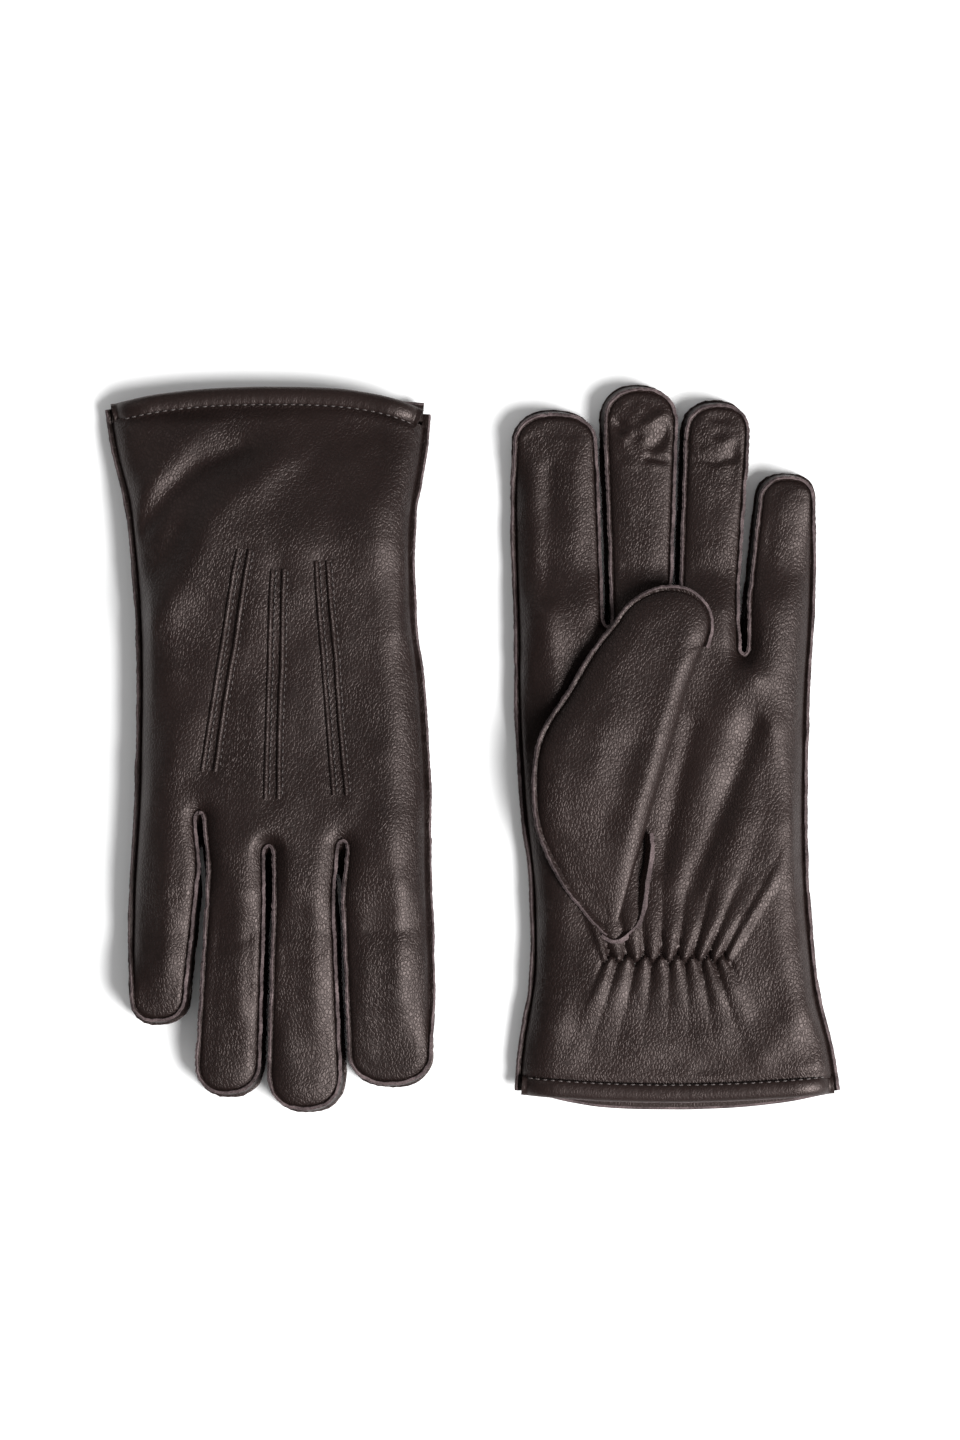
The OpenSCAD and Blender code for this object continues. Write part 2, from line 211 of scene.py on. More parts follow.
class Layer:
    """The palm leather or the back leather of one glove."""

    def __init__(self, side, kind):
        self.side, self.kind = side, kind
        self.up = (side == "left") == (kind == "palm")
        self.step = 0.72 if self.up else 1.5
        self.crotches = CROTCHES[kind]
        self.tip_more = 0.0 if self.up else 0.8
        self.paths = [self.finger_path(i) for i in range(4)]
        self.strips = [self.strip_path(i) for i in range(4)]
        vs = np.arange(-123, 105, 2.0)
        self.left = np.stack([self.left_edge(vs), vs], 1)
        self.right = np.stack([self.right_edge(vs), vs], 1)

    # where the leather meets its seams, in plan

    def left_edge(self, v):
        return edge_left(v) + FLANGE

    def right_edge(self, v):
        return edge_right(v) - FLANGE

    def gap(self, k, v):
        """Middle and half width of the gap between two fingers' panels."""
        far = (TIP_V[k] + TIP_V[k + 1]) / 2 - 12
        t = (v - BASE_V) / (far - BASE_V)
        a = mix(GAP_BASE[k][0], GAP_TIP[k][0], t)
        b = mix(GAP_BASE[k][1], GAP_TIP[k][1], t)
        cx, cv = self.crotches[k]
        t0 = (cv - BASE_V) / (far - BASE_V)
        start = mix(sum(GAP_BASE[k]), sum(GAP_TIP[k]), t0) / 2
        middle = (a + b) / 2 + (cx - start) * (1 - ease((v - cv) / 22))
        if not self.up:
            middle = middle - 1.0 * ease((v - cv) / 20)
        opening = np.maximum(b - a, 1.2) / 2 + LIP
        return middle, opening * dome((v - cv) / 3.4)

    def finger_left(self, i, v):
        if i == 0:
            return self.left_edge(v)
        middle, half = self.gap(i - 1, v)
        return middle + half

    def finger_right(self, i, v):
        if i == 3:
            return self.right_edge(v)
        middle, half = self.gap(i, v)
        return middle - half

    def root(self, i):
        """The two lowest corners of a finger's panel."""
        left = self.crotches[i - 1][1] if i else self.crotches[0][1]
        right = self.crotches[i][1] if i < 3 else self.crotches[2][1]
        return left, right

    def straight_end(self, i):
        return TIP_V[i] - TIP_ROUND[i] + self.tip_more

    def tip_shape(self, i, u, q):
        """A square laid onto the round tip: u across from -1 to 1, q from 0 to 1 towards the end."""
        a = u * np.sqrt(1 - q * q / 2)
        b = q * np.sqrt(1 - u * u / 2)
        turn = np.arctan2(b, a)
        n = 2.35
        out = (np.abs(np.cos(turn)) ** n + np.abs(np.sin(turn)) ** n) ** (-1 / n)
        v1 = self.straight_end(i)
        l, r = self.finger_left(i, v1), self.finger_right(i, v1)
        # the sides keep their slope as they run into the tip
        before = self.finger_left(i, v1 - 8) + self.finger_right(i, v1 - 8)
        lean = (l + r - before) / 16
        deep = b * out * (TIP_ROUND[i] - LIP)
        return (l + r) / 2 + a * out * (r - l) / 2 + lean * deep, v1 + deep

    def finger_path(self, i):
        """Round the finger's panel from its left root, over the tip, to its right root."""
        lo, ro = self.root(i)
        v1 = self.straight_end(i)
        start = np.array([0, 0.06, 0.2, 0.45, 0.8, 1.2, 1.7, 2.3, 2.8])
        up = np.concatenate([lo + start, np.arange(lo + 3.4, v1, 1.0)])
        down = np.concatenate([ro + start, np.arange(ro + 3.4, v1, 1.0)])[::-1]
        k = np.linspace(0, 1, 14)
        ones = np.ones(14)
        w = np.linspace(-1, 1, 24)
        end = [c[1:-1] for c in self.tip_shape(i, w, np.ones(24))]
        tip = [self.tip_shape(i, -ones, k), end, self.tip_shape(i, ones, k[::-1])]
        tx, tv = (np.concatenate(c) for c in zip(*tip))
        x = np.concatenate([self.finger_left(i, up), tx, self.finger_right(i, down)])
        v = np.concatenate([up, tv, down])
        return np.stack([x, v], 1)

    def strip_path(self, i):
        """The part of that path where a narrow side strip is sewn in. On the two outer fingers it starts
        part of the way down the outer side, where the side seam divides."""
        p = self.paths[i]
        top = np.argmax(p[:, 1])
        outer = np.abs(p[:, 1] - (TIP_V[i] - WEDGE)) < 0.51
        if i == 0:
            return p[np.flatnonzero(outer[:top])[0] :]
        if i == 3:
            return p[: top + np.flatnonzero(outer[top:])[-1] + 1]
        return p

    # heights

    def levels(self, x, v):
        """Heights of this layer's flat part and of the side seam."""
        up = lift(x, v) if self.side == "right" else 0 * x
        flat = up + (thickness(v) + CROWN if self.up else UNDERSIDE)
        tip = np.where(x < 60, TIP_V[0], TIP_V[3])
        parted = ease((v - tip + WEDGE) / (WEDGE - 8))
        seam = 0.8 * up + 0.4 * thickness(v)
        return flat, mix(seam, flat - TOP_DROP if self.up else flat + LOW_RISE, parted)

    def height(self, x, v, folds=True):
        flat, seam = self.levels(x, v)
        ds = np.minimum(distance(x, v, self.left), distance(x, v, self.right))
        dg = np.full(np.shape(x), 99.0)
        for p in self.strips:
            dg = np.minimum(dg, distance(x, v, p))
        side_fall = 1 - dome(ds / (12.5 if self.up else 9.0))
        strip_fall = 1 - dome(dg / (8.0 if self.up else 6.0))
        if not self.up:
            return np.maximum(flat + (seam - flat) * side_fall, flat + LOW_RISE * strip_fall)
        z = np.minimum(flat - (flat - seam) * side_fall, flat - TOP_DROP * strip_fall)
        hem = v - (cuff_line(self.kind, x) + HEM)
        z = z - 0.7 * bell(hem / 1.6)
        if folds:
            inner = ease(np.minimum(ds, dg) / 4.5) * ease((hem - 0.5) / 5)
            z = z + FOLDS[self.side](x, v) * inner
        return z


# ---- folds and gathers ----


def crest(x, v, a, b, width, high, ends):
    """A soft fold along the line from a to b, which fades out over the length ends."""
    a, b = np.array(a, float), np.array(b, float)
    d = b - a
    size = np.linalg.norm(d)
    d = d / size
    along = (x - a[0]) * d[0] + (v - a[1]) * d[1]
    off = (x - a[0]) * d[1] - (v - a[1]) * d[0]
    return high * bell(off / width) * ease(along / ends) * ease((size - along) / ends)


def fold(x, v, points, width, high):
    """A soft fold along a curved line, fading where it ends."""
    return high * bell(distance(x, v, resample(points, 3.0)) / width)


GATHER_V, GATHER_X, GATHER_PITCH = -70.6, 65.7, 5.3


def ridge_and_crease(turns):
    """Broad ridges with sharp creases between them, one ridge for each turn."""
    return np.abs(np.cos(np.pi * turns)) ** 0.75


def gathers(x, v):
    """The elastic pulls the palm into small folds that fan out on both sides of it, in a zigzag."""
    dv = v - GATHER_V
    spread = np.where(dv > 0, 46.0, 52.0)
    across = (x - GATHER_X - 0.10 * np.maximum(dv, 0)) / (1 + np.abs(dv) / spread)
    across = across + 0.7 * ripple(across, 0.25 * v, 9, 4)
    turns = across / GATHER_PITCH
    inside = ease((23.5 - np.abs(across)) / 4)
    line = dv - 3.0 * (2 * np.abs(turns - np.floor(turns + 0.5)) - 0.5)
    far_up = 8.0 + 11.0 * speck(np.floor(turns + 0.5), 3.0, 1.0)
    far_down = 7.0 + 8.0 * speck(np.floor(turns), 8.0, 1.0)
    high = 2.7 * ridge_and_crease(turns) * np.exp(-np.maximum(dv, 0) / far_up)
    low = 2.3 * ridge_and_crease(turns + 0.5) * np.exp(np.minimum(dv, 0) / far_down)
    z = mix(low, high, ease(line / 1.3 + 0.5))
    z = z - 1.2 * bell(line / 0.75) - 1.5 * bell(dv / 7) + 0.5 * bell((np.abs(dv) - 12) / 8)
    return inside * z


def folds_along(x, v, lines):
    return sum(fold(x, v, points, width, high) for width, high, points in lines)


# Each fold's width, height and line. A fold of negative height is a valley.
PALM_LINES = [
    (6.0, 1.25, [(69, -44), (77, -14), (84, 6), (92, 24)]),
    (6.0, 0.85, [(80, -44), (92, -20), (101, 6)]),
    (3.4, -1.0, [(74, -46), (86, -16), (95, 8)]),
    (3.0, -0.8, [(64, -40), (69, -12), (74, 8)]),
    (5.0, 1.1, [(29, 16), (25, 44)]),
    (3.6, -0.9, [(20, 0), (30, 14), (41, 28)]),
    (5.0, 0.8, [(96, 22), (106, -10), (108, -44)]),
    (6.0, 0.8, [(26, -92), (40, -80)]),
    (6.0, 0.9, [(98, -104), (112, -90)]),
    (6.0, 0.8, [(58, -100), (80, -98)]),
    # on the fingers
    (2.2, -1.2, [(48, 110), (55, 106)]),
    (2.6, -1.7, [(61, 102), (66, 106)]),
    (1.8, 0.9, [(51, 105), (58, 109), (65, 113)]),
    (1.2, -0.9, [(59, 98), (66.5, 97)]),
    (1.5, -0.6, [(75, 97.5), (82, 96.6), (90, 98.5)]),
    (2.2, 0.6, [(80, 102), (88, 105)]),
    (1.6, -0.22, [(18, 104.5), (25, 106), (33, 105.6)]),
    (3.0, -0.7, [(26, 94), (25, 52)]),
    (3.5, 0.4, [(20, 94), (19, 60)]),
    (4.0, 0.5, [(34, 96), (34, 60)]),
]
BACK_LINES = [
    (7.5, 2.5, [(110, -42), (96, -57), (92, -67), (89, -76), (82, -86), (76, -89), (64, -98)]),
    (5.0, 1.1, [(114, -82), (108, -90), (98, -103), (89, -108)]),
    (9.0, 0.8, [(74, -52), (78, -70), (70, -88)]),
    (9.0, 0.8, [(34, -84), (52, -104)]),
    (3.8, -1.3, [(110, -74), (103, -86), (93, -95), (78, -101)]),
    (4.5, -0.8, [(104, -62), (99, -72)]),
    (4.5, 0.7, [(23, -96), (22, -68), (24, -40)]),
    (8.0, 0.7, [(40, -96), (34, -70)]),
    (6.0, 0.7, [(96, -10), (101, 14)]),
    (6.0, 0.6, [(30, 2), (28, 40)]),
]
# The ends of the three points sewn on the back, and how far up the hand the knuckle folds lie
POINTS = [((76.8, -66.8), (88.6, 7.7)), ((65.3, -60.2), (67.3, 16.8)), ((50.7, -63.0), (44.4, 15.5))]
KNUCKLE_FOLDS = [62, 70, 66, 52]


def palm_folds(x, v):
    z = gathers(x, v) + unevenness(x, v, [(1.3, 33, 2), (0.5, 14, 5), (0.12, 6, 9)])
    z = z + folds_along(x, v, PALM_LINES)
    # fine wrinkles over the middle and ring fingertips
    fine = ease((v - 88) / 8) * (1 - ease((v - 116) / 5)) * ease((x - 44) / 3) * (1 - ease((x - 93) / 3))
    return z + fine * (0.28 * ripple(x + 0.4 * v, v, 3.2, 3) + 0.2 * ripple(x, v, 5.5, 7))


def back_folds(x, v):
    z = unevenness(x, v, [(1.2, 36, 12), (0.42, 14, 15), (0.10, 6, 19)])
    z = z + folds_along(x, v, BACK_LINES + [(3.4, -0.45, [a, b]) for a, b in POINTS])
    for i, at in enumerate(KNUCKLE_FOLDS):
        mid = (GAP_TIP[i - 1][1] if i else 13) * 0.5 + (GAP_TIP[i][0] if i < 3 else 116) * 0.5
        z = z + fold(x, v, [(mid - 3.5, at - 16), (mid - 3, at + 22)], 4.0, 0.6)
        z = z - fold(x, v, [(mid - 8, at - 3), (mid - 1, at), (mid + 7, at - 1)], 2.2, 0.28)
        wrinkles = ripple(x + 0.3 * v, v, 4.5, 21 + i) * bell((v - at - 6) / 14)
        z = z + 0.12 * wrinkles * (np.abs(x - mid) < 12)
    return z


FOLDS = {"left": palm_folds, "right": back_folds}
LAYERS = {(s, k): Layer(s, k) for s in TURN for k in ("palm", "back")}


def upper(side):
    """The leather that faces up on this glove, as it lies."""
    return LAYERS[side, "palm" if side == "left" else "back"]


def lower(side):
    """The leather that faces the table."""
    return LAYERS[side, "back" if side == "left" else "palm"]


# ---- meshes ----


def placed(side, points):
    """Layout millimetres to metres in the frame, where the right glove is turned half round."""
    p = np.array(points, float) * MM
    p[..., 0] *= TURN[side]
    p[..., 1] *= TURN[side]
    return p


def make(name, verts, faces, mats, face_mats=None, sharp=50):
    """A closed mesh with its faces outwards, smooth except at edges sharper than the angle."""
    mesh = bpy.data.meshes.new(name)
    mesh.from_pydata([tuple(p) for p in verts], [], [tuple(f) for f in faces])
    mesh.validate()
    v = np.array([c.co for c in mesh.vertices])
    mesh.calc_loop_triangles()
    t = np.array([c.vertices for c in mesh.loop_triangles])
    volume = (v[t[:, 0]] * np.cross(v[t[:, 1]], v[t[:, 2]])).sum()
    if volume < 0:
        mesh.flip_normals()
    for m in mats:
        mesh.materials.append(m)
    if face_mats is not None:
        mesh.polygons.foreach_set("material_index", np.array(face_mats, np.int32))
    mesh.shade_smooth()
    mesh.set_sharp_from_angle(angle=math.radians(sharp))
    mesh.update()
    o = bpy.data.objects.new(name, mesh)
    bpy.context.scene.collection.objects.link(o)
    return o


def grid_normals(p):
    du = np.gradient(p, axis=1)
    dv = np.gradient(p, axis=0)
    n = np.cross(du, dv)
    return n / (np.linalg.norm(n, axis=2, keepdims=True) + 1e-12)


def quads(idx):
    """The four-sided faces of a grid of point numbers."""
    return np.stack([idx[:-1, :-1], idx[:-1, 1:], idx[1:, 1:], idx[1:, :-1]], -1).reshape(-1, 4)


def border(idx):
    """The point numbers round the outside of a grid."""
    return np.concatenate([idx[0, :], idx[1:, -1], idx[-1, -2::-1], idx[-2:0:-1, 0]])


def sheet_parts(p, up):
    """A leather sheet from a grid of points on its outer face, with its thickness inside."""
    rows, cols = p.shape[:2]
    n = grid_normals(p)
    n = n if up else -n
    inner = p - n * LEATHER
    verts = np.concatenate([p.reshape(-1, 3), inner.reshape(-1, 3)])
    k = rows * cols
    idx = np.arange(k).reshape(rows, cols)
    ring = border(idx)
    nxt = np.roll(ring, -1)
    face, rim = quads(idx), np.stack([ring, ring + k, nxt + k, nxt], -1)
    if not up:
        face, rim = face[:, ::-1], rim[:, ::-1]
    return verts, np.concatenate([face, face[:, ::-1] + k, rim])


def sweep(path, out, up, profiles):
    """Closed cross-sections joined along a path: (along out, along up) for each corner of each one."""
    n, m = profiles.shape[:2]
    verts = path[:, None] + profiles[..., 0:1] * out[:, None] + profiles[..., 1:2] * up[:, None]
    idx = np.arange(n * m).reshape(n, m)
    nxt = np.roll(idx, -1, axis=1)
    faces = [tuple(f) for f in np.stack([idx[:-1], idx[1:], nxt[1:], nxt[:-1]], -1).reshape(-1, 4)]
    return verts.reshape(-1, 3), faces + [tuple(idx[0]), tuple(idx[-1][::-1])]


def directions(path):
    """Sideways (to the left of the way) and upward directions along a path."""
    t = np.gradient(path, axis=0)
    t = t / (np.linalg.norm(t, axis=1, keepdims=True) + 1e-12)
    flat = np.stack([-t[:, 1], t[:, 0], 0 * t[:, 0]], 1)
    flat = flat / (np.linalg.norm(flat, axis=1, keepdims=True) + 1e-12)
    up = np.cross(t, flat)
    up = np.where(up[:, 2:3] < 0, -up, up)
    return flat, up / np.linalg.norm(up, axis=1, keepdims=True)


def gathered(parts):
    """Several (vertices, faces) lists as one."""
    verts, faces, start = [], [], 0
    for v, f in parts:
        verts.append(v)
        faces += [tuple(int(k) + start for k in q) for q in f]
        start += len(v)
    return np.concatenate(verts), faces


# ---- leather panels ----


FINGER_WIDE = [30, 22, 21, 20]  # rough widths, which set how many columns a panel has


def finger_grid(layer, i):
    """Points of a finger's panel: straight rows from the crotches up, then rows rounding the tip."""
    n = int(round(FINGER_WIDE[i] / layer.step))
    f = np.linspace(0, 1, n + 1)
    u = 2 * f - 1
    lo, ro = layer.root(i)
    v0 = mix(lo, ro, f)
    v1 = layer.straight_end(i)
    first = [0, 0.08, 0.25, 0.5, 0.85, 1.3, 1.85, 2.5]
    rise = np.concatenate([first, np.arange(3.2, v1 - min(lo, ro) - layer.step / 2, layer.step)])
    rise = np.append(rise, v1 - min(lo, ro)) / (v1 - min(lo, ro))
    v = v0[None] + (v1 - v0[None]) * rise[:, None]
    x = mix(layer.finger_left(i, v), layer.finger_right(i, v), f[None])
    caps = max(10, int(round(TIP_ROUND[i] * 1.2 / layer.step)))
    q = np.linspace(0, 1, caps + 1)[1:]
    tx, tv = layer.tip_shape(i, *np.broadcast_arrays(u[None], q[:, None]))
    return np.concatenate([x, tx]), np.concatenate([v, tv])


def hand_grid(layer):
    """Points of a hand panel, from under the hem to the roots of the finger panels."""
    roots = [finger_grid(layer, i) for i in range(4)]
    xs = np.concatenate([roots[0][0][0]] + [g[0][0][1:] for g in roots[1:]])
    vs = np.concatenate([roots[0][1][0]] + [g[1][0][1:] for g in roots[1:]])
    l, r = layer.left_edge(vs), layer.right_edge(vs)
    f = (xs - l) / (r - l)
    start = mix(layer.left_edge(CUFF_V), layer.right_edge(CUFF_V), f)
    cuff = cuff_line(layer.kind, start) + HEM - 0.8
    rows = int(round(150 / layer.step))
    t = np.linspace(0, 1, rows + 1)[:, None]
    v = mix(cuff[None], vs[None], t)
    return mix(layer.left_edge(v), layer.right_edge(v), f[None]), v


def leather_sheet(layer, name, x, v, mats):
    """A panel of leather."""
    z = layer.height(x, v)
    p = np.stack([x, v, z], -1)
    verts, faces = sheet_parts(p, layer.up)
    o = make(name, placed(layer.side, verts), faces, mats)
    return o


# ---- sewn edges ----

RAW_EDGE = [1, 2, 3, 4, 5, 6]  # faces of a cross-section that are the cut edge


def edge_profile(s, long, thick, seed, rough):
    """Cross-sections of two leathers sewn together, uneven along the way."""
    grow = 1 + 0.12 * ripple(s, 0 * s, 6.5, seed) + rough * 0.10 * ripple(s, 0 * s, 2.1, seed + 1)
    pinch = 1 - rough * 0.10 * (0.5 + 0.5 * np.cos(2 * np.pi * s / 2.3)) ** 4
    l = long * grow * pinch
    w = thick / 2 * (1 + 0.16 * ripple(s, 0 * s, 3.3, seed + 2)) * pinch
    split = 0.22 + 0.1 * ripple(s, 0 * s, 3.1, seed + 3)
    back = 0 * s - 0.9
    rows = [
        (back, w * 0.95), (l - 0.28, w), (l - 0.05, w * 0.78), (l + 0.05, w * 0.4), (l - split, w * 0.04),
        (l + 0.03, -w * 0.38), (l - 0.08, -w * 0.8), (l - 0.3, -w), (back, -w * 0.95),
    ]
    return np.stack([np.stack(r, -1) for r in rows], 1)


def sewn_edge(path, tilt, long, thick, seed, inward=False, rough=1.0):
    """Two leathers standing out along a seam. tilt is the angle up from level, in degrees."""
    s = length_along(path)
    flat, _ = directions(path)
    flat = -flat if inward else flat
    level = np.array([0, 0, 1.0])
    a = np.radians(tilt + 0 * s)[:, None]
    out = np.cos(a) * flat + np.sin(a) * level
    side = np.cos(a) * level - np.sin(a) * flat
    prof = edge_profile(s, long, thick, seed, rough)
    verts, faces = sweep(path, out, side, prof)
    m = prof.shape[1]
    mats = [1 if k % m in RAW_EDGE else 0 for k in range((len(path) - 1) * m)] + [0, 0]
    return verts, faces, mats


def seam_piece(name, side, edges, mats):
    """Sewn edges as one piece."""
    verts, faces = gathered([e[:2] for e in edges])
    kinds = [k for e in edges for k in e[2]]
    o = make(name, placed(side, verts), faces, mats, kinds, SEAM_CREASE)
    return o


def finger_edge_path(layer, i, strips_only=False, step=0.8):
    """The way of a seam round a finger, on the leather."""
    plan = resample(layer.strips[i] if strips_only else layer.paths[i], step)
    z = layer.height(plan[:, 0], plan[:, 1], folds=False)
    return np.column_stack([plan, z])


SIDE_TILT = {"left": 44.0, "right": 24.0}  # degrees up from level


def side_share(layer, path):
    """1 where the path is a side seam, 0 where a strip is sewn in."""
    d = distance(path[:, 0], path[:, 1], np.concatenate([layer.left, layer.left[-1:]]))
    e = distance(path[:, 0], path[:, 1], layer.right)
    return 1 - ease((np.minimum(d, e) - 0.3) / 5)


def finger_seams(side, i, mats):
    """The seams round one finger: on top, and on the table side where a strip is sewn in."""
    top, low = upper(side), lower(side)
    path = finger_edge_path(top, i)
    share = side_share(top, path) * (1 - ease((path[:, 1] - TIP_V[i] + WEDGE) / (WEDGE - 12)))
    tilt, long, rough = mix(54, SIDE_TILT[side], share), mix(1.5, 1.9, share), mix(1.8, 0.4, share)
    edges = [
        sewn_edge(path, tilt, long, 1.35, 11 + i, rough=rough),
        sewn_edge(finger_edge_path(low, i, True, 1.2), -20, 1.6, 1.7, 31 + i),
    ]
    return seam_piece(f"{side}_{FINGERS[i]}_seams", side, edges, mats)


def strip_wall(side, i, mats):
    """The narrow leather strip along the sides of a finger, from the palm seam to the back seam."""
    n, rows = 150, 7
    ends = [finger_edge_path(layer, i, True) for layer in (upper(side), lower(side))]
    a, b = (between(np.linspace(0, 1, n), np.linspace(0, 1, len(p)), p) for p in ends)
    t = np.linspace(0, 1, rows)
    flat, _ = directions(a)
    wavy = 1 + 0.5 * ripple(np.arange(n) * 0.9, np.zeros(n), 5, 40 + i)
    sunk = 0.245 * np.sin(np.pi * t)[None, :, None] * wavy[:, None, None]
    p = a[:, None] * (1 - t[None, :, None]) + b[:, None] * t[None, :, None]
    p = p + (0.25 - sunk) * flat[:, None]
    verts, faces = sheet_parts(p, True)
    o = make(f"{side}_{FINGERS[i]}_strip_leather", placed(side, verts), faces, mats)
    return o


def hand_side_path(layer, right):
    lo = layer.root(3 if right else 0)[1 if right else 0]
    v = np.arange(-121, lo + 1.0, 0.8)
    x = layer.right_edge(v) if right else layer.left_edge(v)
    start = cuff_line(layer.kind, x) + 0.8
    keep = v >= start
    v, x = v[keep], x[keep]
    z = layer.height(x, v, folds=False)
    return np.column_stack([x, v, z])


def hand_side_seams(side, mats):
    """The side seams of the hand, from the cuff to the outer fingers."""
    edges = []
    for right in (False, True):
        path = hand_side_path(upper(side), right)
        edges.append(sewn_edge(path, SIDE_TILT[side], 1.9, 1.5, 51 + right, right, 0.5))
    return seam_piece(f"{side}_side_seams", side, edges, mats)


# ---- stitches ----


def stitch(p, q, up, r):
    """One stitch: a short thread that rises from one hole and sinks into the next."""
    along = q - p
    rings = [(0.0, 0.35, -0.6), (0.18, 0.85, 0.15), (0.5, 1.0, 0.5), (0.82, 0.85, 0.15), (1.0, 0.35, -0.6)]
    side = np.cross(along, up)
    side = side / (np.linalg.norm(side) + 1e-9)
    verts = []
    for t, w, h in rings:
        c = p + along * t + up * h * r
        for k in range(6):
            a = math.pi * k / 3
            verts.append(c + r * w * (math.cos(a) * side + math.sin(a) * up))
    faces = [tuple(range(5, -1, -1)), tuple(range(24, 30))]
    for j in range(0, 24, 6):
        for k in range(6):
            a, b = j + k, j + (k + 1) % 6
            faces.append((a, b, b + 6, a + 6))
    return np.array(verts), faces


def stitch_row(path, up, pitch, part, r):
    """Stitches one after another along a path. part is how much of the pitch a stitch covers."""
    s = length_along(path)
    out = []
    for k in range(int(s[-1] / pitch)):
        a, b = k * pitch + pitch * (1 - part) / 2, k * pitch + pitch * (1 + part) / 2
        out.append(stitch(between(a, s, path), between(b, s, path), between((a + b) / 2, s, up), r))
    return out


def needle_holes(path, up, pitch, r):
    """Small dimples where the needle went through, one between each two stitches. Their nearly black
    finish is painted shade for the inside of the holes.
    """
    s = length_along(path)
    turn = np.arange(6) * math.pi / 3
    faces = [(j, (j + 1) % 6, 6) for j in range(6)] + [((j + 1) % 6, j, 7) for j in range(6)]
    out = []
    for k in range(1, int(s[-1] / pitch)):
        c, n = between(k * pitch, s, path), between(k * pitch, s, up)
        side = np.cross(n, [0.3, 1, 0.1])
        side = side / np.linalg.norm(side)
        other = np.cross(n, side)
        rim = [c + r * (math.cos(a) * side + math.sin(a) * other) - 0.12 * n for a in turn]
        out.append((np.array(rim + [c + 0.06 * n, c - 0.4 * n]), faces))
    return out


def thread_piece(name, side, threads, holes):
    """Stitches and their needle holes as one piece; the holes take the second finish, which is painted
    shade.
    """
    verts, faces = gathered(threads + holes)
    split = sum(len(f) for _, f in threads)
    kinds = [int(k >= split) for k in range(len(faces))]
    o = make(name, placed(side, verts), faces, THREAD, kinds, ROUND_CREASE)
    return o


# ---- hem ----

# Cross-section of the turned hem: (back from the opening, up from the leather)
HEM_PROFILE = [
    (HEM + 0.3, -1.3), (HEM + 0.05, -0.5), (HEM - 0.35, 0.05), (HEM - 1.0, 0.42), (HEM - 2.0, 0.62),
    (3.2, 0.66), (2.2, 0.52), (1.3, 0.2), (0.6, -0.25), (0.15, -0.75), (0.0, -1.15), (0.15, -1.6),
    (0.9, -2.0), (2.4, -2.2), (4.4, -2.2), (HEM, -2.0),
]
HEM_RAW = (9, 10, 11)  # faces of it that are the cut edge
HEM_STEP, HEM_PITCH = 0.5, 2.7


def hem_path(layer):
    ends = [layer.left_edge(CUFF_V) + 0.7, layer.right_edge(CUFF_V) - 0.7]
    x = np.linspace(ends[0], ends[1], int((ends[1] - ends[0]) / HEM_STEP))
    v = cuff_line(layer.kind, x)
    l, r = layer.left_edge(v) + 0.5, layer.right_edge(v) - 0.5
    x = l + (r - l) * (x - ends[0]) / (ends[1] - ends[0])
    v = cuff_line(layer.kind, x)
    z = layer.height(np.clip(x, l + 1.9, r - 1.9), v + HEM + 6, folds=False)
    return np.column_stack([x, v, z])


def hem_frame(layer):
    """The edge of the opening, with its directions into the glove and out of the leather."""
    path = hem_path(layer)
    flat, up = directions(path)
    flat = np.where(flat[:, 1:2] < 0, -flat, flat)
    return path, flat, up if layer.up else -up


def hem_band(side, mats):
    """The turned hem: a soft rolled band round the opening, palm and back halves."""
    parts, kinds = [], []
    corners = len(HEM_PROFILE)
    # how much of the stitches' pucker reaches each corner
    near = np.array([(0.2 + 0.8 * ease((p[0] - 3.5) / 2.4)) * (p[1] > -0.3) for p in HEM_PROFILE])
    for kind in ("palm", "back"):
        path, flat, up = hem_frame(LAYERS[side, kind])
        s = np.arange(len(path)) * HEM_STEP
        prof = np.broadcast_to(np.array(HEM_PROFILE), (len(path), corners, 2)).copy()
        pucker = unevenness(s, 0 * s, [(0.10, 8, 61), (0.07, 2.3, 64)])
        pucker = pucker + 0.04 * np.cos(2 * np.pi * s / HEM_PITCH)
        prof[..., 1] += pucker[:, None] * near[None] + 0.12 * ripple(s, 0 * s, 19, 62)[:, None]
        prof[..., 0] += 0.15 * ripple(s, 0 * s, 9, 63)[:, None]
        part = sweep(path, flat, up, prof)
        kinds += [int(k % corners in HEM_RAW) for k in range(len(part[1]) - 2)] + [0, 0]
        parts.append(part)
    verts, faces = gathered(parts)
    o = make(f"{side}_cuff_hem", placed(side, verts), faces, mats, kinds, ROUND_CREASE)
    return o


def hem_stitches(side):
    threads, holes = [], []
    for kind in ("palm", "back"):
        path, flat, up = (a[3:-3] for a in hem_frame(LAYERS[side, kind]))
        line = path + flat * (HEM - 0.25) + up * 0.2
        threads += stitch_row(line, up, HEM_PITCH, 0.62, 0.26)
        holes += needle_holes(line - up * 0.12, up, HEM_PITCH, 0.42)
    return thread_piece(f"{side}_hem_stitching", side, threads, holes)


# ---- points: three pairs of raised pin tucks on the back ----

TUCK = [
    (-0.8, -0.7), (-0.85, 0.05), (-0.66, 0.5), (-0.28, 0.74), (0.12, 0.72), (0.5, 0.46), (0.78, 0.1),
    (1.1, -0.5),
]
TUCK_STEP, TUCK_PITCH = 0.9, 2.3


def tuck_paths(layer):
    """The ways of the six tucks, two to a point."""
    out = []
    for a, b in np.array(POINTS):
        for k in (-2.05, 2.05):
            n = int(np.linalg.norm(b - a) / TUCK_STEP)
            t = np.linspace(0, 1, n)[:, None]
            plan = a + (b - a) * t + np.array([k, 0])
            plan[:, 0] += 0.22 * ripple(t[:, 0] * 80, 0 * t[:, 0], 11, 70 + k)
            z = layer.height(plan[:, 0], plan[:, 1])
            out.append(np.column_stack([plan, z]))
    return out


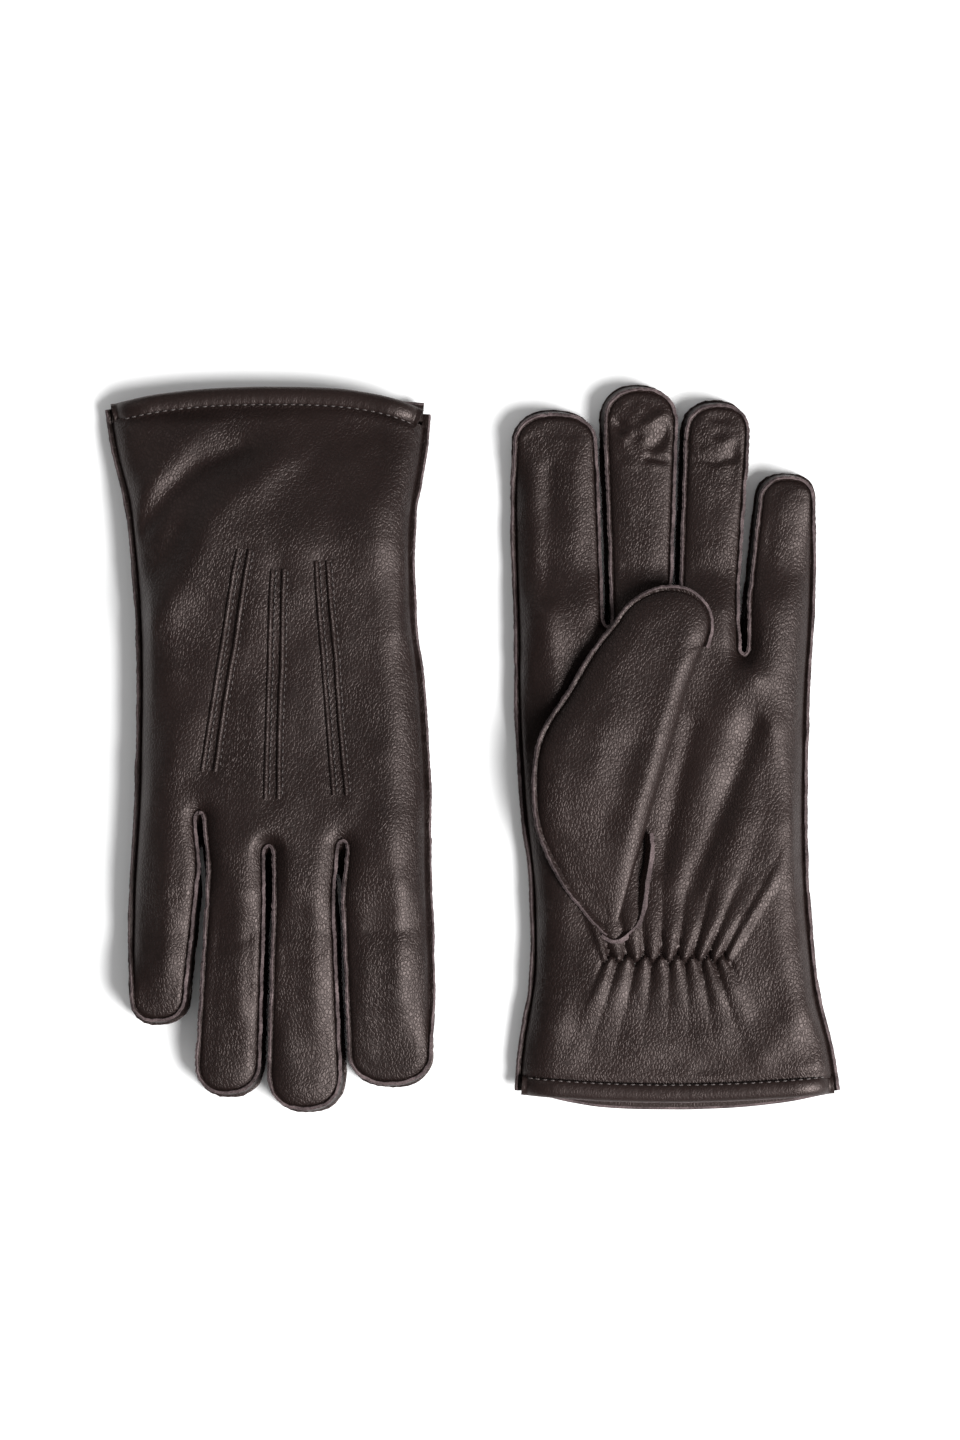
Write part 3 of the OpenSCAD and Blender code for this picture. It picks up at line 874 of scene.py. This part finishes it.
def point_tucks(side, mats):
    layer = LAYERS[side, "back"]
    parts, threads, holes = [], [], []
    for path in tuck_paths(layer):
        flat, up = directions(path)
        up = up if layer.up else -up
        s = np.arange(len(path)) * TUCK_STEP
        prof = np.broadcast_to(np.array(TUCK), (len(path), len(TUCK), 2)).copy()
        fade = ease(np.minimum(s, s[::-1]) / 2.5)
        pinch = 1 - 0.16 * (0.5 + 0.5 * np.cos(2 * np.pi * s / 2.6)) ** 3
        high = (0.75 + 0.25 * fade) * (1 + 0.14 * ripple(s, 0 * s, 3.5, 75)) * pinch
        prof[..., 1] = np.where(prof[..., 1] > 0, prof[..., 1] * high[:, None], prof[..., 1])
        parts.append(sweep(path, flat, up, prof))
        beside = path + flat * 1.3
        threads += stitch_row(beside + up * 0.12, up, TUCK_PITCH, 0.66, 0.21)
        holes += needle_holes(beside + up * 0.02, up, TUCK_PITCH, 0.26)
    verts, faces = gathered(parts)
    o = make(f"{side}_point_tucks", placed(side, verts), faces, mats, None, ROUND_CREASE)
    return o, thread_piece(f"{side}_point_stitching", side, threads, holes)


# ---- thumb: b runs across it and a along it ----

THUMB_AT, THUMB_LEAN = (40.3, -34.5), math.radians(16)
thumb_left = spline(
    [(-25.2, 12.8), (-20.8, 5.4), (-13.4, -5), (-6.1, -12.3), (2.4, -18.9), (14.5, -23.8), (28.8, -26.6),
     (38, -25.4), (47.1, -22.4), (62.8, -18.2), (76.6, -12.8)]
)
thumb_right = spline([(-25.2, 14.6), (-10, 15), (17.4, 15.3), (48.7, 15.6), (66.4, 15.9), (76.6, 17)])
THUMB_HEEL, THUMB_END, THUMB_ROUND = -25.2, 76.6, 16.0


def thumb_place(b, a):
    """From the thumb's layout to the glove's."""
    c, s = math.cos(THUMB_LEAN), math.sin(THUMB_LEAN)
    return b * c + a * s + THUMB_AT[0], -b * s + a * c + THUMB_AT[1]


def thumb_tip(u, q):
    """A square laid onto the round tip: u across from -1 to 1, q from 0 to 1 towards the end."""
    a = u * np.sqrt(1 - q * q / 2)
    b = q * np.sqrt(1 - u * u / 2)
    l, r = thumb_left(THUMB_END), thumb_right(THUMB_END)
    return (l + r) / 2 + a * (r - l) / 2 + 0.22 * b * THUMB_ROUND * 0.9, THUMB_END + b * THUMB_ROUND


def thumb_grid(step):
    """Points of the thumb's leather, from the heel to the tip."""
    u = np.linspace(-1, 1, int(42 / step) + 1)[None]
    heel = THUMB_HEEL + np.array([0, 0.2, 0.6, 1.1])
    a = np.concatenate([heel, np.arange(-23.4, THUMB_END, step), [THUMB_END]])[:, None]
    b = mix(thumb_left(a), thumb_right(a), (u + 1) / 2)
    tb, ta = thumb_tip(*np.broadcast_arrays(u, np.linspace(0, 1, 24)[1:, None]))
    return np.concatenate([b, tb]), np.concatenate([np.broadcast_to(a, b.shape), ta])


def thumb_outline():
    """The left side, the tip and the right side of the thumb."""
    heel = THUMB_HEEL + np.array([0, 0.4, 1.2])
    a = np.concatenate([heel, np.arange(-23, THUMB_END, 1.0), [THUMB_END]])
    k = np.linspace(0, 1, 12)
    w = np.linspace(-1, 1, 24)
    one = np.ones(12)
    tip = [thumb_tip(-one, k), thumb_tip(w, np.ones(24)), thumb_tip(one, k[::-1])]
    left = np.stack([thumb_left(a), a], 1)
    cap = np.concatenate([np.stack(t, 1) for t in tip])
    right = np.stack([thumb_right(a), a], 1)[::-1]
    return left, cap, right


def thumb_thickness(a):
    return 1.6 + 6.6 * ease((a + 27) / 52) - 1.4 * ease((a - 62) / 34)


def thumb_base(side):
    """Height of the lower leather: on the left palm, or on the table."""
    return 13.95 if side == "left" else 0.15


def thumb_shapes(side, b, a):
    """Heights of the upper and lower leather of the thumb."""
    left, cap, right = thumb_outline()
    ds, df = distance(b, a, np.concatenate([left, cap])), distance(b, a, right)
    h = thumb_thickness(a)
    low = thumb_base(side) + 0 * a
    mid = low + 0.42 * h
    top_fall = np.maximum(1 - dome(ds / 9.5), 1 - dome(df / 6.0))
    low_fall = np.maximum(1 - dome(ds / 6), 1 - dome(df / 5))
    top = low + h - (low + h - mid) * top_fall
    if side == "left":
        soft = unevenness(b, a, [(0.5, 24, 81), (0.16, 10, 83), (0.06, 5, 85)])
        soft = soft + 0.25 * bell((df - 5.5) / 4) * ease((a + 16) / 20)
        soft = soft + crest(b, a, (-8, 8), (-6, 66), 6, 0.6, 25)
        soft = soft - crest(b, a, (2, -4), (3, 52), 5, 0.4, 18)
        soft = soft - crest(b, a, (-16, 30), (10, 41), 3.0, 0.25, 8)
        top = top + ease(np.minimum(ds, df) / 6) * soft
    return top, low + (mid - low) * low_fall


def thumb_bag(side, mats):
    """The thumb: upper and lower leather closed all round, with the same points on the outside."""
    b, a = thumb_grid(0.75 if side == "left" else 1.4)
    x, v = thumb_place(b, a)
    k = x.size
    idx = np.arange(k).reshape(x.shape)
    verts = np.concatenate([np.stack([x, v, z], -1).reshape(-1, 3) for z in thumb_shapes(side, b, a)])
    below = np.arange(k) + k
    below[border(idx)] = border(idx)
    face = quads(idx)
    used, faces = np.unique(np.concatenate([face, below[face[:, ::-1]]]), return_inverse=True)
    faces = faces.reshape(-1, 4)
    o = make(f"{side}_thumb_leather", placed(side, verts[used]), faces, mats, None, BAG_CREASE)
    return o


def thumb_seams(side, mats):
    left, cap, _ = thumb_outline()
    plan = resample(np.concatenate([left, cap[1:]]), 0.8)
    top, _ = thumb_shapes(side, plan[:, 0], plan[:, 1])
    path = np.column_stack([*thumb_place(plan[:, 0], plan[:, 1]), top + 0.2])
    edge = sewn_edge(path, 34 if side == "left" else 0, 1.5, 1.7, 91)
    return seam_piece(f"{side}_thumb_seams", side, [edge], mats)


def thumb_hole_seam(side, mats):
    """The seam where the thumb is let into the palm, round the heel of the thumb."""
    layer = LAYERS[side, "palm"]
    line = spline([(0, 44.0), (0.6, 48.3), (1.2, 52.9), (2, 56.4), (3, 57.7), (4, 59.3), (5, 59.0)])
    rise = spline([(0, -61.8), (0.6, -63.7), (1.2, -60.9), (2, -55), (3, -45), (4, -37), (5, -28.5)])
    t = np.linspace(0, 5, 60)
    plan = resample(np.stack([line(t), rise(t)], 1), 0.7)
    z = layer.height(plan[:, 0], plan[:, 1], folds=False)
    path = np.column_stack([plan, z + (0.35 if layer.up else 0.1)])
    edge = sewn_edge(path, 48 if layer.up else -40, 2.1, 2.0, 97, True)
    return seam_piece(f"{side}_thumb_hole_seam", side, [edge], mats)


# ---- linings ----

RING = 40  # points round a lining


def ring(x, v, half, near, inset, span):
    """One soft-cornered ring of a lining, between the heights that span gives."""
    ang = np.linspace(0, 2 * np.pi, RING, endpoint=False)
    c, s = np.cos(ang), np.sin(ang)
    n = 2.6
    k = (np.abs(c) ** n + np.abs(s) ** n) ** (-1 / n)
    px = x + max(half - inset, 0.3) * k * c
    pv = np.full(RING, float(v))
    low, high = span(px, pv)
    tall = np.maximum((high - low) / 2 * near - inset, 0.2)
    return np.stack([px, pv, (low + high) / 2 + tall * k * s], 1)


def ring_tube(sections, thick, closed_end, span):
    """A soft tube: (x, v, half width, share of the height) for each section, open at the first one."""
    last = sections[-1][1]
    rows = [ring(x, v, w, near, 0, span) for x, v, w, near in sections]
    for x, v, w, near in sections[::-1]:
        back = thick if closed_end and v == last else 0
        rows.append(ring(x, v - back, w, near, thick, span))
    faces = []
    for j in range(len(rows)):
        this, nxt = j * RING, (j + 1) % len(rows) * RING
        if closed_end and j == len(sections) - 1:
            faces += [tuple(range(this, this + RING)), tuple(range(nxt + RING - 1, nxt - 1, -1))]
            continue
        for k in range(RING):
            far = (k + 1) % RING
            faces.append((this + k, this + far, nxt + far, nxt + k))
    return np.concatenate(rows), faces


def glove_span(side):
    """Room for the lining between the two leathers of a glove."""
    top, low = upper(side), lower(side)

    def span(x, v):
        high = top.height(x, v, folds=False) - 3.4
        if side == "left":
            high = high - 3.4 * bell((v - GATHER_V) / 9)
        bottom = low.height(x, v, folds=False) + 1.6
        return bottom, np.maximum(high, bottom + 1.2)

    return span


def hand_lining(side, mats):
    layer = LAYERS[side, "palm"]
    sections = []
    for v in np.concatenate([[-113.0, -112.5], np.arange(-110, 26, 4.0)]):
        l, r = layer.left_edge(v) + 3.6, layer.right_edge(v) - 3.6
        sections.append(((l + r) / 2, v, (r - l) / 2, 1.0))
    verts, faces = ring_tube(sections, 0.9, False, glove_span(side))
    o = make(f"{side}_hand_lining_knit", placed(side, verts), faces, mats, None, ROUND_CREASE)
    return o


def finger_lining(side, i, mats):
    layer = LAYERS[side, "palm"]
    sections = []
    for v in np.linspace(KNUCKLE_V[i] + 2.5, TIP_V[i] - 6, 14):
        l, r = layer.finger_left(i, v) + 3.0, layer.finger_right(i, v) - 3.0
        near = dome((TIP_V[i] - 3.5 - v) / TIP_ROUND[i])
        sections.append((float(l + r) / 2, v, float(r - l) / 2 * near, 0.4 + 0.6 * near))
    verts, faces = ring_tube(sections, 0.9, True, glove_span(side))
    o = make(f"{side}_{FINGERS[i]}_lining_knit", placed(side, verts), faces, mats, None, ROUND_CREASE)
    return o


def thumb_lining(side, mats):
    def span(b, a):
        top, bottom = thumb_shapes(side, b, a)
        return bottom + 1.2, np.maximum(top - 1.5, bottom + 1.6)

    sections = []
    for a in np.linspace(-10, 84, 24):
        near = dome((THUMB_END + THUMB_ROUND - 3 - a) / THUMB_ROUND)
        l, r = float(thumb_left(a)) + 3.2, float(thumb_right(a)) - 3.2
        sections.append(((l + r) / 2, a, max((r - l) / 2, 1) * near, 0.4 + 0.6 * near))
    verts, faces = ring_tube(sections, 0.5, True, span)
    x, v = thumb_place(verts[:, 0], verts[:, 1])
    p = np.column_stack([x, v, verts[:, 2]])
    o = make(f"{side}_thumb_lining_knit", placed(side, p), faces, mats, None, ROUND_CREASE)
    return o


# ---- small sewn-in patches ----

INDEX_PATCH_RISE = {"left": -0.0016, "right": 0.0008}  # metres from the CAD pad's place
THUMB_PATCH_LEVEL = {"left": 17.2, "right": 3.2}
THUMB_PATCH_SIZE = (0.014, 0.016, 0.0006)


def node_place(node_name):
    """Centre and size of a CAD solid."""
    low, high = (np.array(c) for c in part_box(node_name))
    return tuple((low + high) / 2), tuple(high - low)


def thumb_patch_place(side):
    x, v = thumb_place(3.5, 75.8)
    return tuple(placed(side, [x, v, THUMB_PATCH_LEVEL[side]])), THUMB_PATCH_SIZE


def patch(name, place, size, mats, slot, turn=0.0):
    """A sewn-in patch with rounded edges that fills a box."""
    bpy.ops.object.select_all(action="DESELECT")
    bpy.ops.mesh.primitive_cube_add(size=1, location=place, rotation=(0, 0, turn))
    o = bpy.context.object
    o.name = name
    o.scale = size
    bpy.ops.object.transform_apply(location=True, rotation=True, scale=True)
    bpy.ops.object.mode_set(mode="EDIT")
    bpy.ops.mesh.select_all(action="SELECT")
    bpy.ops.mesh.subdivide(number_cuts=5)
    bpy.ops.mesh.normals_make_consistent(inside=False)
    bpy.ops.object.mode_set(mode="OBJECT")
    soft = o.modifiers.new("round", "BEVEL")
    soft.width, soft.segments, soft.limit_method = 0.00012, 2, "ANGLE"
    bpy.ops.object.modifier_apply(modifier=soft.name)
    bpy.ops.object.shade_smooth_by_angle(angle=math.radians(40))
    o.data.materials.clear()
    for m in mats:
        o.data.materials.append(m)
    return o


# ---- finishes ----


def add(tree, kind, inputs=None, **settings):
    n = tree.nodes.new(kind)
    for k, value in settings.items():
        setattr(n, k, value)
    for k, value in (inputs or {}).items():
        n.inputs[k].default_value = value
    return n


def ramp(tree, source, stops):
    """Colours by value: (value, colour) for each stop."""
    n = add(tree, "ShaderNodeValToRGB")
    e = n.color_ramp.elements
    while len(e) < len(stops):
        e.new(0.5)
    for k, (at, colour) in enumerate(stops):
        e[k].position = at
        e[k].color = (*colour, 1)
    tree.links.new(source, n.inputs["Fac"])
    return n.outputs["Color"]


def maths(tree, op, a, b, c=None):
    n = add(tree, "ShaderNodeMath", operation=op)
    for k, value in enumerate(x for x in (a, b, c) if x is not None):
        if isinstance(value, (int, float)):
            n.inputs[k].default_value = value
        else:
            tree.links.new(value, n.inputs[k])
    return n.outputs[0]


def texture(tree, kind, at, inputs=None, **settings):
    """A pattern laid out by the place on the piece."""
    n = add(tree, f"ShaderNodeTex{kind}", inputs, **settings)
    tree.links.new(at, n.inputs["Vector"])
    return n


def rescaled(tree, source, inputs, **settings):
    """A value moved from one range to another."""
    n = add(tree, "ShaderNodeMapRange", inputs, **settings)
    tree.links.new(source, n.inputs["Value"])
    return n.outputs[0]


def group(name, inputs, outputs):
    """A node group whose inputs and outputs are all plain values."""
    g = bpy.data.node_groups.new(name, "ShaderNodeTree")
    for n, value in inputs.items():
        s = g.interface.new_socket(n, in_out="INPUT", socket_type="NodeSocketFloat")
        s.default_value = value
    for n in outputs:
        g.interface.new_socket(n, in_out="OUTPUT", socket_type="NodeSocketFloat")
    return g, add(g, "NodeGroupInput"), add(g, "NodeGroupOutput")


def surface_place(tree, scale=1000.0):
    """Place on the piece, in millimetres unless another scale is given."""
    c = add(tree, "ShaderNodeTexCoord")
    n = add(tree, "ShaderNodeVectorMath", operation="SCALE")
    n.inputs["Scale"].default_value = scale
    tree.links.new(c.outputs["Object"], n.inputs[0])
    return n.outputs[0]


def grain_group():
    """Fine pebbled leather grain: cells with creases between them, weaker where the skin is tight."""
    outputs = ["Height", "Patches", "Creases"]
    g, given, out = group("leather_grain", {"Cells per mm": 0.95, "Crease": 1.0}, outputs)
    at = surface_place(g)
    warp = texture(g, "Noise", at, {"Scale": 0.55, "Detail": 2.0})
    pushed = add(g, "ShaderNodeVectorMath", {1: (0.9, 0.9, 0.9)}, operation="MULTIPLY")
    g.links.new(warp.outputs["Color"], pushed.inputs[0])
    where = add(g, "ShaderNodeVectorMath", operation="ADD")
    g.links.new(at, where.inputs[0])
    g.links.new(pushed.outputs[0], where.inputs[1])
    stretch = add(g, "ShaderNodeMapping", {"Rotation": (0, 0, 0.9), "Scale": (1.0, 0.72, 1.0)})
    g.links.new(where.outputs[0], stretch.inputs["Vector"])
    cells = texture(g, "Voronoi", stretch.outputs[0], feature="DISTANCE_TO_EDGE")
    g.links.new(given.outputs["Cells per mm"], cells.inputs["Scale"])
    crease = rescaled(g, cells.outputs["Distance"], {"From Max": 0.24}, interpolation_type="SMOOTHSTEP")
    tight = texture(g, "Noise", at, {"Scale": 0.07, "Detail": 3.0, "Roughness": 0.6})
    limits = {"From Min": 0.35, "From Max": 0.7, "To Min": 0.45, "To Max": 1.0}
    slack = rescaled(g, tight.outputs["Fac"], limits)
    fine = texture(g, "Noise", at, {"Scale": 2.6, "Detail": 3.0})
    broad = texture(g, "Noise", stretch.outputs[0], {"Scale": 0.28, "Detail": 2.0})
    patches = texture(g, "Noise", at, {"Scale": 0.022, "Detail": 4.0, "Roughness": 0.55})
    pebble = maths(g, "MULTIPLY", maths(g, "MULTIPLY", crease, slack), given.outputs["Crease"])
    high = maths(g, "MULTIPLY_ADD", fine.outputs["Fac"], 0.12, pebble)
    high = maths(g, "MULTIPLY_ADD", broad.outputs["Fac"], 0.8, high)
    for name, value in zip(outputs, (high, patches.outputs["Fac"], crease)):
        g.links.new(value, out.inputs[name])
    return g


def blank(name):
    m = bpy.data.materials.new(name)
    m.use_nodes = True
    t = m.node_tree
    return m, t, t.nodes["Principled BSDF"]


def bump(tree, shader, height, strength, far):
    b = add(tree, "ShaderNodeBump", {"Strength": strength, "Distance": far})
    tree.links.new(height, b.inputs["Height"])
    tree.links.new(b.outputs[0], shader.inputs["Normal"])


def leather(name, grain, dark, light, shine, crease=1.0, depth=0.00012):
    """Dyed nappa in a mix of two browns. shine is its roughness, and the creases are duller."""
    m, t, s = blank(name)
    g = add(t, "ShaderNodeGroup", node_tree=grain)
    g.inputs["Crease"].default_value = crease
    tone = maths(t, "MULTIPLY", g.outputs["Patches"], 0.72)
    tone = maths(t, "MULTIPLY_ADD", g.outputs["Creases"], 0.28, tone)
    t.links.new(ramp(t, tone, [(0.3, dark), (0.72, light)]), s.inputs["Base Color"])
    rough = rescaled(t, g.outputs["Creases"], {"To Min": shine + 0.09, "To Max": shine})
    t.links.new(rough, s.inputs["Roughness"])
    s.inputs["Specular IOR Level"].default_value = 0.36
    s.inputs["Specular Tint"].default_value = (1.0, 0.84, 0.80, 1)
    bump(t, s, g.outputs["Height"], 0.8, depth)
    return m


def raw_suede(name):
    """The cut edge of the leather: fibrous, dusty and a little paler in places."""
    m, t, s = blank(name)
    at = surface_place(t)
    fibre = texture(t, "Noise", at, {"Scale": 1.6, "Detail": 5.0, "Roughness": 0.7})
    worn = texture(t, "Noise", at, {"Scale": 0.16, "Detail": 2.0})
    both = maths(t, "MULTIPLY", worn.outputs["Fac"], 0.5)
    both = maths(t, "MULTIPLY_ADD", fibre.outputs["Fac"], 0.55, both)
    stops = [(0.38, (0.025, 0.018, 0.018)), (0.55, (0.088, 0.065, 0.066)), (0.72, (0.18, 0.138, 0.138))]
    t.links.new(ramp(t, both, stops), s.inputs["Base Color"])
    s.inputs["Roughness"].default_value = 0.92
    s.inputs["Specular IOR Level"].default_value = 0.2
    bump(t, s, fibre.outputs["Fac"], 0.8, 0.0004)
    return m


def twisted_thread_with_painted_sheen(name):
    m, t, s = blank(name)
    settings = {"Scale": 0.75, "Distortion": 1.5, "Detail": 1.0}
    wave = texture(t, "Wave", surface_place(t), settings, bands_direction="DIAGONAL").outputs["Fac"]
    # the thread's browns are partly the dark thread's own colour, lightened as painted sheen where it
    # catches light; the diagonal bands are its twist
    stops = [(0.1, (0.022, 0.017, 0.016)), (0.9, (0.085, 0.068, 0.065))]
    t.links.new(ramp(t, wave, stops), s.inputs["Base Color"])
    s.inputs["Roughness"].default_value = 0.55
    bump(t, s, wave, 0.5, 0.0001)
    return m


def painted_hole_shade(name):
    """Painted shade: a nearly black finish for the inside of a needle hole, where its shadow falls."""
    m, t, s = blank(name)
    n = texture(t, "Noise", surface_place(t), {"Scale": 2.0, "Detail": 2.0})
    # painted shade: near-black browns for the shadow inside the hole
    stops = [(0.3, (0.002, 0.0015, 0.0015)), (0.7, (0.008, 0.006, 0.0055))]
    t.links.new(ramp(t, n.outputs["Fac"], stops), s.inputs["Base Color"])
    s.inputs["Roughness"].default_value = 0.95
    s.inputs["Specular IOR Level"].default_value = 0.1
    return m


def knit(name, dark, light, per_mm):
    """Fine rib knit: columns of loops."""
    m, t, s = blank(name)
    at = surface_place(t)
    settings = {"Scale": per_mm, "Distortion": 0.6, "Detail": 1.0}
    rib = texture(t, "Wave", at, settings, bands_direction="X").outputs["Fac"]
    settings = {"Scale": per_mm * 0.8, "Distortion": 0.8, "Detail": 1.0}
    loop = texture(t, "Wave", at, settings, bands_direction="Y").outputs["Fac"]
    fuzz = texture(t, "Noise", at, {"Scale": 3.0, "Detail": 4.0}).outputs["Fac"]
    high = maths(t, "MULTIPLY_ADD", rib, 0.6, maths(t, "MULTIPLY", loop, 0.4))
    high = maths(t, "MULTIPLY_ADD", fuzz, 0.35, high)
    t.links.new(ramp(t, high, [(0.3, dark), (1.0, light)]), s.inputs["Base Color"])
    s.inputs["Roughness"].default_value = 0.9
    s.inputs["Sheen Weight"].default_value = 0.3
    bump(t, s, high, 0.7, 0.0004)
    return m


GRAIN = grain_group()
SKIN = leather("nappa", GRAIN, (0.0060, 0.0032, 0.0028), (0.0125, 0.0070, 0.0062), 0.41)
# The hem's browns are a lighter copy of the nappa's: painted sheen along the rolled band. Its weaker,
# shallower grain and lower roughness are the tight leather's own.
HEM_SHEEN_BROWNS = (0.0075, 0.0042, 0.0036), (0.0140, 0.0082, 0.0074)
HEM_SKIN_AND_SHEEN = leather("hem_nappa_painted_sheen", GRAIN, *HEM_SHEEN_BROWNS, 0.38, 0.6, 0.00009)
RAW = raw_suede("raw_edge")
# the second thread finish is painted shade for the needle holes
THREAD = [twisted_thread_with_painted_sheen("thread_with_painted_sheen"), painted_hole_shade("needle_hole")]
LINING = [knit("rib_knit_lining", (0.008, 0.007, 0.0065), (0.045, 0.040, 0.038), 0.55)]
ELASTIC = [knit("woven_elastic", (0.05, 0.045, 0.04), (0.16, 0.15, 0.14), 0.9)]
TOUCH = [knit("conductive_knit", (0.07, 0.065, 0.06), (0.24, 0.23, 0.22), 0.9)]

# ---- putting the pair together ----


def knuckle(side, i):
    """Where a finger's leather starts and stops turning, in the frame."""
    ends = (KNUCKLE_V[i] - KNUCKLE_REACH, KNUCKLE_V[i] + KNUCKLE_REACH)
    return [tuple(placed(side, [60.0, v, 0.0])) for v in ends]


def build_finger(side, i):
    name = FINGERS[i]
    hand, body = f"{side}_hand", f"{side}_{name}_finger"
    start, end = knuckle(side, i)
    pieces = []
    for kind in ("palm", "back"):
        layer = LAYERS[side, kind]
        x, v = finger_grid(layer, i)
        o = leather_sheet(layer, f"{side}_{name}_{kind}_leather", x, v, [SKIN])
        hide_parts(f"{side}_{name}_{kind}")
        pieces.append(o)
    o = strip_wall(side, i, [SKIN])
    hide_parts(f"{side}_{name}_strips")
    pieces.append(o)
    pieces.append(finger_seams(side, i, [SKIN, RAW]))
    for o in pieces:
        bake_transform(o)
    o = finger_lining(side, i, LINING)
    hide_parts(f"{side}_{name}_lining")
    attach(o, body)


def build_thumb(side):
    hand, body = f"{side}_hand", f"{side}_thumb_tube"
    start, end = (tuple(placed(side, [*thumb_place(0.0, a), 0.0])) for a in (-26.0, 40.0))
    bag = thumb_bag(side, [SKIN])
    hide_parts(f"{side}_thumb")
    seams = thumb_seams(side, [SKIN, RAW])
    inner = thumb_lining(side, LINING)
    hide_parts(f"{side}_thumb_lining")
    for o in (bag, seams, inner):
        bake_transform(o)
    place, size = thumb_patch_place(side)
    pad = patch(f"{side}_thumb_touch_patch", place, size, TOUCH, "touch_fabric", -THUMB_LEAN)
    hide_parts(f"{side}_thumb_touch_pad")
    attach(pad, body)


def build_hand(side):
    hand = f"{side}_hand"
    for kind in ("palm", "back"):
        layer = LAYERS[side, kind]
        x, v = hand_grid(layer)
        o = leather_sheet(layer, f"{side}_{kind}_panel_leather", x, v, [SKIN])
        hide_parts(f"{side}_{kind}_panel")
        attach(o, hand)
    seams = hand_side_seams(side, [SKIN, RAW])
    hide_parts(f"{side}_crotch_strips")
    band = hem_band(side, [HEM_SKIN_AND_SHEEN, RAW])
    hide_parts(f"{side}_cuff_binding")
    thread = hem_stitches(side)
    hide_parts(f"{side}_hem_thread")
    tucks, lines = point_tucks(side, [SKIN])
    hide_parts(f"{side}_point_threads")
    lining = hand_lining(side, LINING)
    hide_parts(f"{side}_hand_lining")
    elastic = patch(f"{side}_wrist_elastic_tape", *node_place(f"{side}_wrist_elastic"), ELASTIC, "elastic")
    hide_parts(f"{side}_wrist_elastic")
    hole = thumb_hole_seam(side, [SKIN, RAW])
    for o in (seams, band, thread, tucks, lines, lining, elastic, hole):
        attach(o, hand)
    place, size = node_place(f"{side}_index_touch_pad")
    place = (*place[:2], place[2] + INDEX_PATCH_RISE[side])
    pad = patch(f"{side}_index_touch_patch", place, size, TOUCH, "touch_fabric")
    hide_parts(f"{side}_index_touch_pad")
    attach(pad, f"{side}_index_finger")


for side in TURN:
    build_hand(side)
    for i in range(4):
        build_finger(side, i)
    build_thumb(side)

# ---- floor, light and camera ----


def floor():
    bpy.ops.object.select_all(action="DESELECT")
    bpy.ops.mesh.primitive_plane_add(size=14, location=(0, 0, -0.0002))
    o = bpy.context.object
    o.name = "floor"
    m, t, s = blank("pale_floor")
    n = texture(t, "Noise", surface_place(t, 1.0), {"Scale": 9.0, "Detail": 3.0})
    stops = [(0.3, (0.90, 0.90, 0.90)), (0.7, (0.92, 0.92, 0.92))]
    t.links.new(ramp(t, n.outputs["Fac"], stops), s.inputs["Base Color"])
    s.inputs["Roughness"].default_value = 0.9
    s.inputs["Specular IOR Level"].default_value = 0.1
    o.data.materials.append(m)


def area_light(name, place, size, power):
    """A round lamp that points at the middle of the pair."""
    d = bpy.data.lights.new(name, "AREA")
    d.shape, d.size, d.energy = "DISK", size, power
    o = bpy.data.objects.new(name, d)
    bpy.context.scene.collection.objects.link(o)
    o.location = place
    way = -np.array(place)
    a = math.atan2(way[1], way[0])
    down = math.acos(-way[2] / np.linalg.norm(way))
    o.rotation_euler = (down, 0, a - math.pi / 2)


def surroundings():
    """Dim all round for the leather to mirror, pale where the camera sees past the floor."""
    w = bpy.data.worlds.new("studio")
    bpy.context.scene.world = w
    w.use_nodes = True
    t = w.node_tree
    t.nodes.clear()
    white = {"Color": (1, 1, 1, 1)}
    soft, mirrored, pale = (
        add(t, "ShaderNodeBackground", {**white, "Strength": k}) for k in (0.42, 0.04, 1.0)
    )
    seen = add(t, "ShaderNodeLightPath")
    away = add(t, "ShaderNodeMixShader")
    both = add(t, "ShaderNodeMixShader")
    out = add(t, "ShaderNodeOutputWorld")
    links = [
        (seen.outputs["Is Glossy Ray"], away.inputs[0]),
        (soft.outputs[0], away.inputs[1]),
        (mirrored.outputs[0], away.inputs[2]),
        (seen.outputs["Is Camera Ray"], both.inputs[0]),
        (away.outputs[0], both.inputs[1]),
        (pale.outputs[0], both.inputs[2]),
        (both.outputs[0], out.inputs["Surface"]),
    ]
    for a, b in links:
        t.links.new(a, b)


def camera():
    """Straight above, a little off the middle."""
    d = bpy.data.cameras.new("camera")
    o = bpy.data.objects.new("camera", d)
    bpy.context.scene.collection.objects.link(o)
    d.lens, d.sensor_width, d.sensor_fit = 200, 36, "AUTO"
    d.clip_start, d.clip_end = 0.01, 50
    o.location = (0.0025, 0.0097, 2.706)
    bpy.context.scene.camera = o


floor()
area_light("key", (2.35, -1.35, 2.75), 2.2, 330)
area_light("fill", (-1.3, 1.3, 1.6), 1.0, 4)
surroundings()
camera()
bpy.context.scene.view_settings.view_transform = "Standard"
